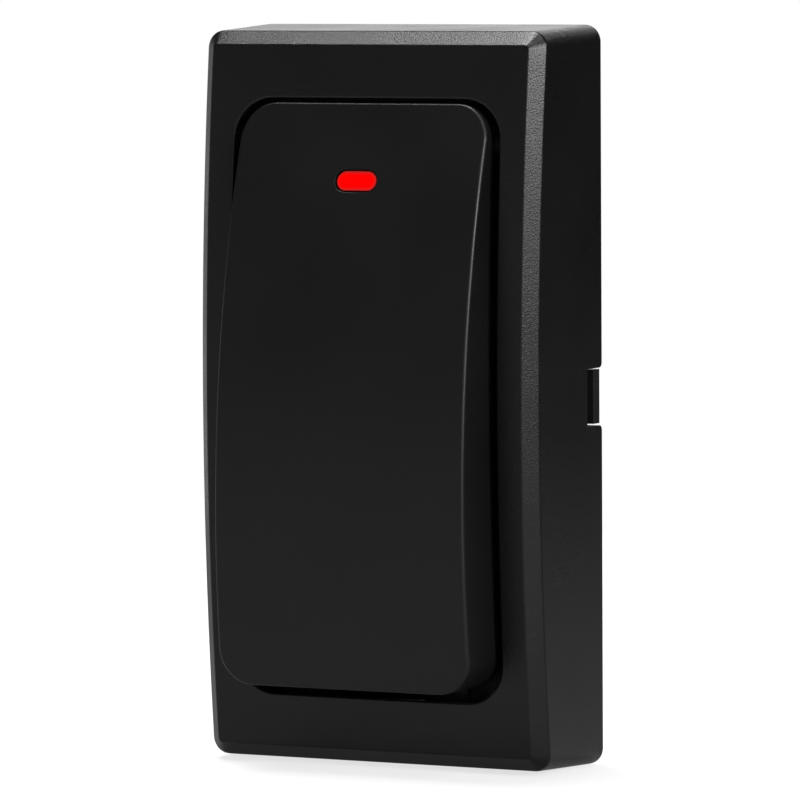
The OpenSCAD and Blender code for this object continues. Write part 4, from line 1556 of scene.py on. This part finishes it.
    def _hinge_and_lug(self, skin: Skin, side: int) -> None:
        """Add one cheek with its boss and pin, and the hooked lug below that keeps the button in.

        Args:
            skin: Skin that takes them.
            side: 1 for the right side, -1 for the left.
        """
        home = self.housing
        cheek, outside = self.half_w - self.shell, self.half_w - self.taper - self.cheek_inset
        skin.block(
            (side * cheek, home.hinge_h - self.boss_r, home.hinge_d),
            (side * outside, home.hinge_h + self.boss_r, self.skirt_d + self.join),
        )
        for radius, start, end in (
            (self.boss_r, cheek, home.opening_w / 2 - self.side_play),
            (self.pin_r, outside, home.cavity_w / 2 - self.pin_gap),
        ):
            turned = circle(radius, ROUND_PARTS)
            profile = [(side * start, home.hinge_h + a, home.hinge_d + b) for a, b in turned]
            skin.prism(profile, (side * (end - start), 0, 0))
        left, rear = side * self.lug_x - self.lug_w / 2, self.lug_top - self.lug_t
        inner, wall = self.bottom + self.shell, -home.opening_h / 2
        hook = [
            (-self.lug_end, rear),
            (inner, rear),
            (inner, self.lug_top),
            (wall - self.lug_lip / 2, self.lug_top - self.lug_dip),
            (wall - self.lug_lip, self.lug_top),
            (-self.lug_end, self.lug_top),
        ]
        skin.prism([(left, h, d) for h, d in hook], (self.lug_w, 0, 0))
        skin.block(
            (left, self.bottom + self.cheek_inset, rear),
            (left + self.lug_w, inner, self.skirt_d + self.join),
        )


@dataclass
class WindowLens:
    """Red light pipe in the button's window, with the flange that holds it from behind."""

    rocker: Rocker
    fit: float = 0.03
    gap: float = 0.17
    sunk: float = 0.14
    edge_r: float = 0.2
    rim: float = 0.42
    flange: float = 0.9
    depth: float = 1.8
    tip: float = 0.5
    parts: int = 48
    face_steps: Flat = (0.6, 0.25)

    def build(self, shop: Workshop) -> None:
        """Build the lens and put it in place.

        Args:
            shop: Workshop that dresses and mounts it.
        """
        button = self.rocker
        rear = button.face_at(button.window_z) - button.shell - self.depth
        shelf = rear + self.tip
        width, height = button.window_w - 2 * self.gap, button.window_h - 2 * self.gap
        wide, high = width + 2 * self.flange, height + 2 * self.flange
        skin = Skin()

        def under_shell(h: float) -> float:
            """Depth of the flange's front, which lies against the inside of the button."""
            return button.hollow_at(h) - self.fit

        def front(h: float) -> float:
            """Depth of the lens's front, which lies a little behind the button's face."""
            return button.face_at(h) - self.sunk

        rings = [
            self._ring(skin, width, height, lambda _: rear),
            self._ring(skin, width, height, lambda _: shelf),
            self._ring(skin, wide, high, lambda _: shelf),
            self._ring(skin, wide, high, under_shell),
            self._ring(skin, width, height, under_shell),
            self._ring(skin, width, height, front),
        ]
        skin.stack(rings)
        front_edge = rings[-1]
        for step in self.face_steps:
            inner = self._ring(skin, step * width, step * height, front)
            skin.bridge(rings[-1], inner)
            rings.append(inner)
        skin.cap(rings[0], rings[-1])
        skin.soften(front_edge, self.edge_r)
        # Red cast acrylic lit from behind: a fully saturated glow, with a paler rim that is a painted
        # highlight on its rounded edge.
        finish = LitAcrylic(
            "red lit acrylic",
            Slot.LENS,
            colour="#8a0000",
            # Paler rim colour: a painted highlight on the rounded edge.
            rim_highlight_colour="#a02727",
            light="#ff0000",
            glow=0.71,
            rim_glow=0.02,
            middle=(0.0, button.window_z, front(button.window_z)),
            size_mm=(width, height),
            rim_mm=self.rim,
            tilt=math.asin((button.window_z - button.crown_h) / button.face_r),
            lit_mm=self.edge_r,
        )
        shop.mount(skin.to_object("lit_window"), Body.ROCKER, finish, "window_lens")

    def _ring(self, skin: Skin, width: float, height: float, depth: Depth) -> list[int]:
        """Add a ring of the slot's shape about the window's middle.

        Args:
            skin: Skin that takes it.
            width: Length of the slot.
            height: Width of the slot.
            depth: Depth of the surface at a height.

        Returns:
            Indices of its points.
        """
        flats = []
        for x, h in circle(1.0, self.parts):
            dx, dh = stadium_edge(width, height, (width * x, height * h))
            flats.append((dx, self.rocker.window_z + dh))
        return skin.ring(flats, depth)


@dataclass
class WallPlate:
    """Plate that stays on the wall, from its CAD node with its edges broken."""

    edge_mm: float = 0.15
    edge_parts: int = 2

    def build(self, shop: Workshop) -> None:
        """Round the plate's edges and dress the plate and its seal.

        Args:
            shop: Workshop that dresses and mounts it.
        """
        piece = shop.copy_of("back_plate", "wall_plate_moulding", True)
        bevel = piece.modifiers.new("broken edges", "BEVEL")
        bevel.limit_method = "ANGLE"
        bevel.angle_limit = SHARP_ANGLE
        bevel.width = self.edge_mm * MM
        bevel.segments = self.edge_parts
        bevel.harden_normals = True
        shop.mount(piece, Body.WALL_PLATE, PLATE_ABS, "back_plate")
        shop.keep("plate_seal", SEAL_RUBBER)


@dataclass
class ScrewSet:
    """Alike self-tapping screws: one is turned here, and Geometry Nodes set it out at each place."""

    node: str
    name: str
    places: Sequence[Flat]
    seat_d: float
    length: float
    head_r: float = 1.9
    head_h: float = 1.2
    head_round: float = 0.45
    shank_r: float = 0.96
    tip_r: float = 0.5
    tip_l: float = 0.8
    cross_l: float = 2.66
    cross_w: float = 0.57
    cross_depth: float = 0.6
    sides: int = 40
    round_parts: int = 4
    seed: int = 7

    def build(self, shop: Workshop) -> None:
        """Build the screws as one plain mesh and put it in place.

        Args:
            shop: Workshop that gives the finish and mounts the screws.
        """
        screw = self._one()
        spots = bpy.data.meshes.new("screw places")
        spots.from_pydata([place(x, h, self.seat_d) for x, h in self.places], [], [])
        holder = link("screw places", spots)
        tree = self._tree()
        values = {"Screw": screw, "Finish": shop.material(ZINC_STEEL)}
        modifier = holder.modifiers.new("set out", "NODES")
        modifier.node_group = tree
        for socket in tree.interface.items_tree:
            if socket.name in values:
                modifier[socket.identifier] = values[socket.name]
        graph = bpy.context.evaluated_depsgraph_get()
        mesh = bpy.data.meshes.new_from_object(holder.evaluated_get(graph))
        for helper in (holder, screw):
            bpy.data.objects.remove(helper)
        bpy.data.node_groups.remove(tree)
        shop.mount(link(self.name, mesh), Body.FRONT_UNIT, ZINC_STEEL, self.node)

    def _one(self) -> bpy.types.Object:
        """Turn one screw about its axis, with its head's seat at the middle of the frame.

        Returns:
            The screw, without its cross.
        """
        skin = Skin()
        turns = [math.pi / 2 * i / self.round_parts for i in range(self.round_parts + 1)]
        crown = self.head_r - self.head_round
        dome = [
            (crown + self.head_round * math.sin(t), self.head_round * (1 - math.cos(t)) - self.head_h)
            for t in turns
        ]
        shank = [
            (self.head_r, 0.0),
            (self.shank_r, 0.0),
            (self.shank_r, self.length - self.tip_l),
            (self.tip_r, self.length),
        ]
        skin.lathe(dome + shank, self.sides)
        return skin.to_object("screw")

    def _tree(self) -> bpy.types.NodeTree:
        """Build the tree that cuts the cross into the head and sets the screws out, turned by chance.

        Returns:
            The node tree.
        """
        tree = bpy.data.node_groups.new("screws", "GeometryNodeTree")
        for name, kind in (
            ("Places", "NodeSocketGeometry"),
            ("Screw", "NodeSocketObject"),
            ("Finish", "NodeSocketMaterial"),
        ):
            tree.interface.new_socket(name, in_out="INPUT", socket_type=kind)
        tree.interface.new_socket("Screws", in_out="OUTPUT", socket_type="NodeSocketGeometry")
        given = add_node(tree, "NodeGroupInput").outputs
        whole = add_node(
            tree, "GeometryNodeObjectInfo", inputs={"Object": given["Screw"]}
        ).outputs["Geometry"]
        size = (self.cross_l * MM, 2 * self.cross_depth * MM, self.cross_w * MM)
        bar = add_node(tree, "GeometryNodeMeshCube", inputs={"Size": size}).outputs["Mesh"]
        bars = [
            add_node(
                tree,
                "GeometryNodeTransform",
                inputs={
                    "Geometry": bar,
                    "Translation": place(0, 0, -self.head_h),
                    "Rotation": (0.0, turn, 0.0),
                },
            ).outputs[0]
            for turn in (0.0, math.pi / 2)
        ]
        cut = add_node(tree, "GeometryNodeMeshBoolean", {"operation": "DIFFERENCE"}, {"Mesh 1": whole})
        for each in bars:
            tree.links.new(each, cut.inputs["Mesh 2"])
        turned = add_node(
            tree,
            "FunctionNodeRandomValue",
            {"data_type": "FLOAT_VECTOR"},
            {0: (0.0, 0.0, 0.0), 1: (0.0, math.pi / 2, 0.0), "Seed": self.seed},
        ).outputs[0]
        spread = add_node(
            tree,
            "GeometryNodeInstanceOnPoints",
            inputs={
                "Points": given["Places"],
                "Instance": cut.outputs["Mesh"],
                "Rotation": turned,
            },
        ).outputs[0]
        solid = add_node(tree, "GeometryNodeRealizeInstances", inputs={"Geometry": spread}).outputs[0]
        dressed = add_node(
            tree, "GeometryNodeSetMaterial", inputs={"Geometry": solid, "Material": given["Finish"]}
        ).outputs[0]
        add_node(tree, "NodeGroupOutput", inputs={"Screws": dressed})
        return tree


@dataclass
class Transmitter:
    """What the housing holds: frame, board, switch, battery and the parts of the transmitter."""

    housing: Housing
    finishes: dict[str, Finish] = field(
        default_factory=lambda: {
            "inner_frame": FRAME_ABS,
            "circuit_board": BOARD_MASK,
            "switch_base": PART_NYLON,
            "switch_cover": TIN_PLATE,
            "switch_plunger": PART_NYLON,
            "indicator_led": LAMP_EPOXY,
            "battery_holder": PART_NYLON,
            "negative_contact": BRONZE,
            "positive_clip": TIN_PLATE,
            "coin_cell": CELL_STEEL,
            "encoder_chip": CHIP_EPOXY,
            "rf_transistor": CHIP_EPOXY,
            "resonator_can": TIN_PLATE,
            "antenna_coil": COPPER,
            "filter_capacitor": CAN_ALUMINIUM,
            "chip_capacitors": CHIP_CERAMIC,
            "chip_resistors": CHIP_EPOXY,
        }
    )
    spring_kept: float = 0.85
    dome_kept: float = 0.32
    board_front: float = 9.6
    board_t: float = 1.6
    frame_t: float = 1.4
    screw_grip: float = 2.6
    board_screw_x: float = 12.05
    board_screw_h: float = 7.5

    def build(self, shop: Workshop) -> None:
        """Dress the parts that keep their CAD shapes, and add the two that give way and the screws.

        Args:
            shop: Workshop that dresses and mounts them.
        """
        for node, finish in self.finishes.items():
            shop.keep(node, finish)
        shop.spring("return_spring", "coil_spring", SPRING_STEEL)
        shop.spring("switch_dome", "snap_dome", SPRING_STEEL)
        home, sides = self.housing, (-1, 1)
        corners = [(x * home.boss_x, h * home.boss_h) for x in sides for h in sides]
        edges = [(x * self.board_screw_x, self.board_screw_h) for x in sides]
        length = self.frame_t + self.screw_grip
        ScrewSet("frame_screws", "frame_screw_set", corners, self.board_front, length).build(shop)
        seat, length = self.board_front - self.board_t, self.board_t + self.frame_t + self.screw_grip
        ScrewSet("board_screws", "board_screw_set", edges, seat, length).build(shop)


def towards(azimuth: float) -> Point:
    """Level direction at an azimuth in degrees, from the front and on to the right."""
    turn = math.radians(azimuth)
    return (math.sin(turn), -math.cos(turn), 0.0)


@dataclass(frozen=True)
class Lamp:
    """Soft rectangular lamp that faces a point on the push's middle line, in metres and watts."""

    name: str
    where: Point
    aim_z: float
    size: Flat
    watts: float

    def hang(self) -> None:
        """Put the lamp into the scene, out of the camera's sight."""
        lamp = bpy.data.lights.new(self.name, "AREA")
        lamp.shape = "RECTANGLE"
        lamp.size, lamp.size_y = self.size
        lamp.energy = self.watts
        holder = bpy.data.objects.new(self.name, lamp)
        holder.location = self.where
        way = Vector((0.0, 0.0, self.aim_z)) - Vector(self.where)
        holder.rotation_euler = way.to_track_quat("-Z", "Y").to_euler()
        holder.visible_camera = False
        bpy.context.scene.collection.objects.link(holder)


LAMPS = (
    Lamp("overhead softbox", (-0.15, 0.04, 0.82), 0.0, (0.36, 0.36), 11.5),
    Lamp("right softbox", (0.76, -0.28, 0.27), 0.02, (0.35, 0.22), 8.2),
    Lamp("back softbox", (-0.14, 1.2, 0.3), 0.0, (0.5, 0.5), 2.6),
    Lamp("rear left softbox", (-0.55, 1.06, 0.26), 0.0, (0.7, 0.36), 0.5),
    Lamp("left softbox", (-0.95, -0.14, 0.02), 0.0, (0.36, 0.4), 0.45),
    Lamp("corner softbox", (0.42, -0.24, 0.78), 0.04, (0.3, 0.3), 2.2),
    Lamp("low front softbox", (-0.62, -0.92, -0.1), 0.0, (0.9, 0.4), 0.95),
    Lamp("high front softbox", (-0.46, -0.9, 0.42), 0.0, (0.9, 0.6), 0.34),
)


@dataclass
class Studio:
    """Pale table, white backdrop, soft lamps and the camera, in metres, degrees and pixels."""

    lamps: Sequence[Lamp] = LAMPS
    table_r: float = 0.3
    table_z: float = -0.0457
    table_parts: int = 128
    table_colour: str = "#7a7a7a"
    table_roughness: float = 0.9
    table_glow: float = 0.72
    table_mirror: float = 0.5
    table_front: float = -10.0
    table_fade: float = 0.05
    dark_wall: float = 0.03
    pale_wall: float = 1.0
    pale_azimuth: float = 213.0
    wall_span: Flat = (0.82, 0.97)
    azimuth: float = 26.834
    elevation: float = 4.045
    roll: float = -0.3
    distance: float = 0.83496
    focal_px: float = 6688.9
    middle_px: Flat = (428.66, 390.73)
    image_px: float = 800.0
    sensor_mm: float = 36.0
    sight: Flat = (0.01, 20.0)

    def build(self) -> None:
        """Build the set."""
        bpy.context.scene.view_settings.view_transform = "Standard"
        self._room()
        self._table()
        for lamp in self.lamps:
            lamp.hang()
        self._camera()

    def _room(self) -> None:
        """Light the set from two pale walls with dark walls between them, all white to the camera."""
        world = bpy.data.worlds.new("studio")
        world.use_nodes = True
        tree = world.node_tree
        tree.nodes.clear()
        direction = add_node(tree, "ShaderNodeTexCoord").outputs["Generated"]
        along = add_node(
            tree,
            "ShaderNodeVectorMath",
            {"operation": "DOT_PRODUCT"},
            {0: direction, 1: towards(self.pale_azimuth)},
        ).outputs["Value"]
        either = add_node(tree, "ShaderNodeMath", {"operation": "ABSOLUTE"}, {0: along}).outputs[0]
        level = add_node(
            tree,
            "ShaderNodeMapRange",
            {"interpolation_type": "SMOOTHSTEP"},
            {
                "Value": either,
                "From Min": self.wall_span[0],
                "From Max": self.wall_span[1],
                "To Min": self.dark_wall,
                "To Max": self.pale_wall,
            },
        ).outputs[0]
        # Gloss sees the walls as they are: white all round would turn the black mouldings grey.
        path = add_node(tree, "ShaderNodeLightPath").outputs
        seen = add_node(
            tree, "ShaderNodeMath", inputs={0: path["Is Camera Ray"], 1: path["Is Transmission Ray"]}
        ).outputs[0]
        shown = add_node(
            tree, "ShaderNodeMath", {"operation": "MAXIMUM"}, {0: level, 1: seen}
        ).outputs[0]
        shader = add_node(
            tree, "ShaderNodeBackground", inputs={"Color": WHITE, "Strength": shown}
        ).outputs[0]
        add_node(tree, "ShaderNodeOutputWorld", inputs={"Surface": shader})
        bpy.context.scene.world = world

    def _table(self) -> None:
        """Make the round white table that the push stands on."""
        skin = Skin()
        level = self.table_z / MM
        ring = skin.loop((x, level, y) for x, y in circle(self.table_r / MM, self.table_parts))
        middle = skin.loop([(0.0, level, 0.0)])[0]
        skin.faces.extend((a, b, middle) for a, b in zip(ring, (*ring[1:], ring[0])))
        table = skin.to_object("table")
        table.data.materials.append(self._card())

    def _card(self) -> bpy.types.Material:
        """Build the table's material: a card that shows white, and whose front mirrors in gloss too.

        Returns:
            The material.
        """
        material, tree = new_shader_tree("matt white card")
        path = add_node(tree, "ShaderNodeLightPath").outputs
        coords = add_node(tree, "ShaderNodeTexCoord").outputs["Object"]
        along = add_node(
            tree,
            "ShaderNodeVectorMath",
            {"operation": "DOT_PRODUCT"},
            {0: coords, 1: towards(self.table_front)},
        ).outputs["Value"]
        share = add_node(
            tree,
            "ShaderNodeMapRange",
            inputs={
                "Value": along,
                "From Min": -self.table_fade,
                "From Max": self.table_fade,
                "To Max": self.table_mirror,
            },
        ).outputs[0]
        mirrored = add_node(
            tree, "ShaderNodeMath", {"operation": "MULTIPLY"}, {0: path["Is Glossy Ray"], 1: share}
        ).outputs[0]
        shown = path["Is Camera Ray"]
        for ray in (mirrored, path["Is Transmission Ray"]):
            shown = add_node(tree, "ShaderNodeMath", inputs={0: shown, 1: ray}).outputs[0]
        glow = add_node(
            tree, "ShaderNodeMapRange", inputs={"Value": shown, "To Max": self.table_glow}
        ).outputs[0]
        shader = add_node(
            tree,
            "ShaderNodeBsdfPrincipled",
            inputs={
                "Base Color": linear(self.table_colour),
                "Roughness": self.table_roughness,
                "Emission Color": WHITE,
                "Emission Strength": glow,
            },
        ).outputs[0]
        add_node(tree, "ShaderNodeOutputMaterial", inputs={"Surface": shader})
        return material

    def _axes(self) -> tuple[Vector, Vector, Vector]:
        """Find the camera's axes before its roll.

        Returns:
            Its right, up and back.
        """
        turn, rise = math.radians(self.azimuth), math.radians(self.elevation)
        level = math.cos(rise)
        back = Vector((math.sin(turn) * level, -math.cos(turn) * level, math.sin(rise)))
        right = Vector((math.cos(turn), math.sin(turn), 0.0))
        return right, back.cross(right), back

    def _camera(self) -> None:
        """Set the camera up at the photograph's angle, turned a little so that the framing matches."""
        right, up, back = self._axes()
        roll = math.radians(self.roll)
        across = right * math.cos(roll) + up * math.sin(roll)
        upward = up * math.cos(roll) - right * math.sin(roll)
        off_x, off_y = (self.image_px / 2 - pixel for pixel in self.middle_px)
        aim = -back * self.focal_px + across * off_x - upward * off_y
        new_back = -aim.normalized()
        new_right = (across - new_back * across.dot(new_back)).normalized()
        new_up = new_back.cross(new_right)
        turn = Matrix((new_right, new_up, new_back)).transposed().to_4x4()
        camera = bpy.data.cameras.new("camera")
        camera.sensor_width = self.sensor_mm
        camera.lens = self.focal_px / self.image_px * self.sensor_mm
        camera.clip_start, camera.clip_end = self.sight
        holder = bpy.data.objects.new("camera", camera)
        holder.matrix_world = Matrix.Translation(back * self.distance) @ turn
        bpy.context.scene.collection.objects.link(holder)
        bpy.context.scene.camera = holder


def main() -> None:
    """Load the frame and build each sub-assembly in order."""
    logging.basicConfig(level=logging.INFO, format="%(name)s: %(message)s")
    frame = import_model()
    shop = Workshop(frame)
    housing = Housing()
    housing.build(shop)
    rocker = Rocker(housing)
    rocker.build(shop)
    WindowLens(rocker).build(shop)
    WallPlate().build(shop)
    Transmitter(housing).build(shop)
    Studio().build()


if __name__ == "__main__":
    main()
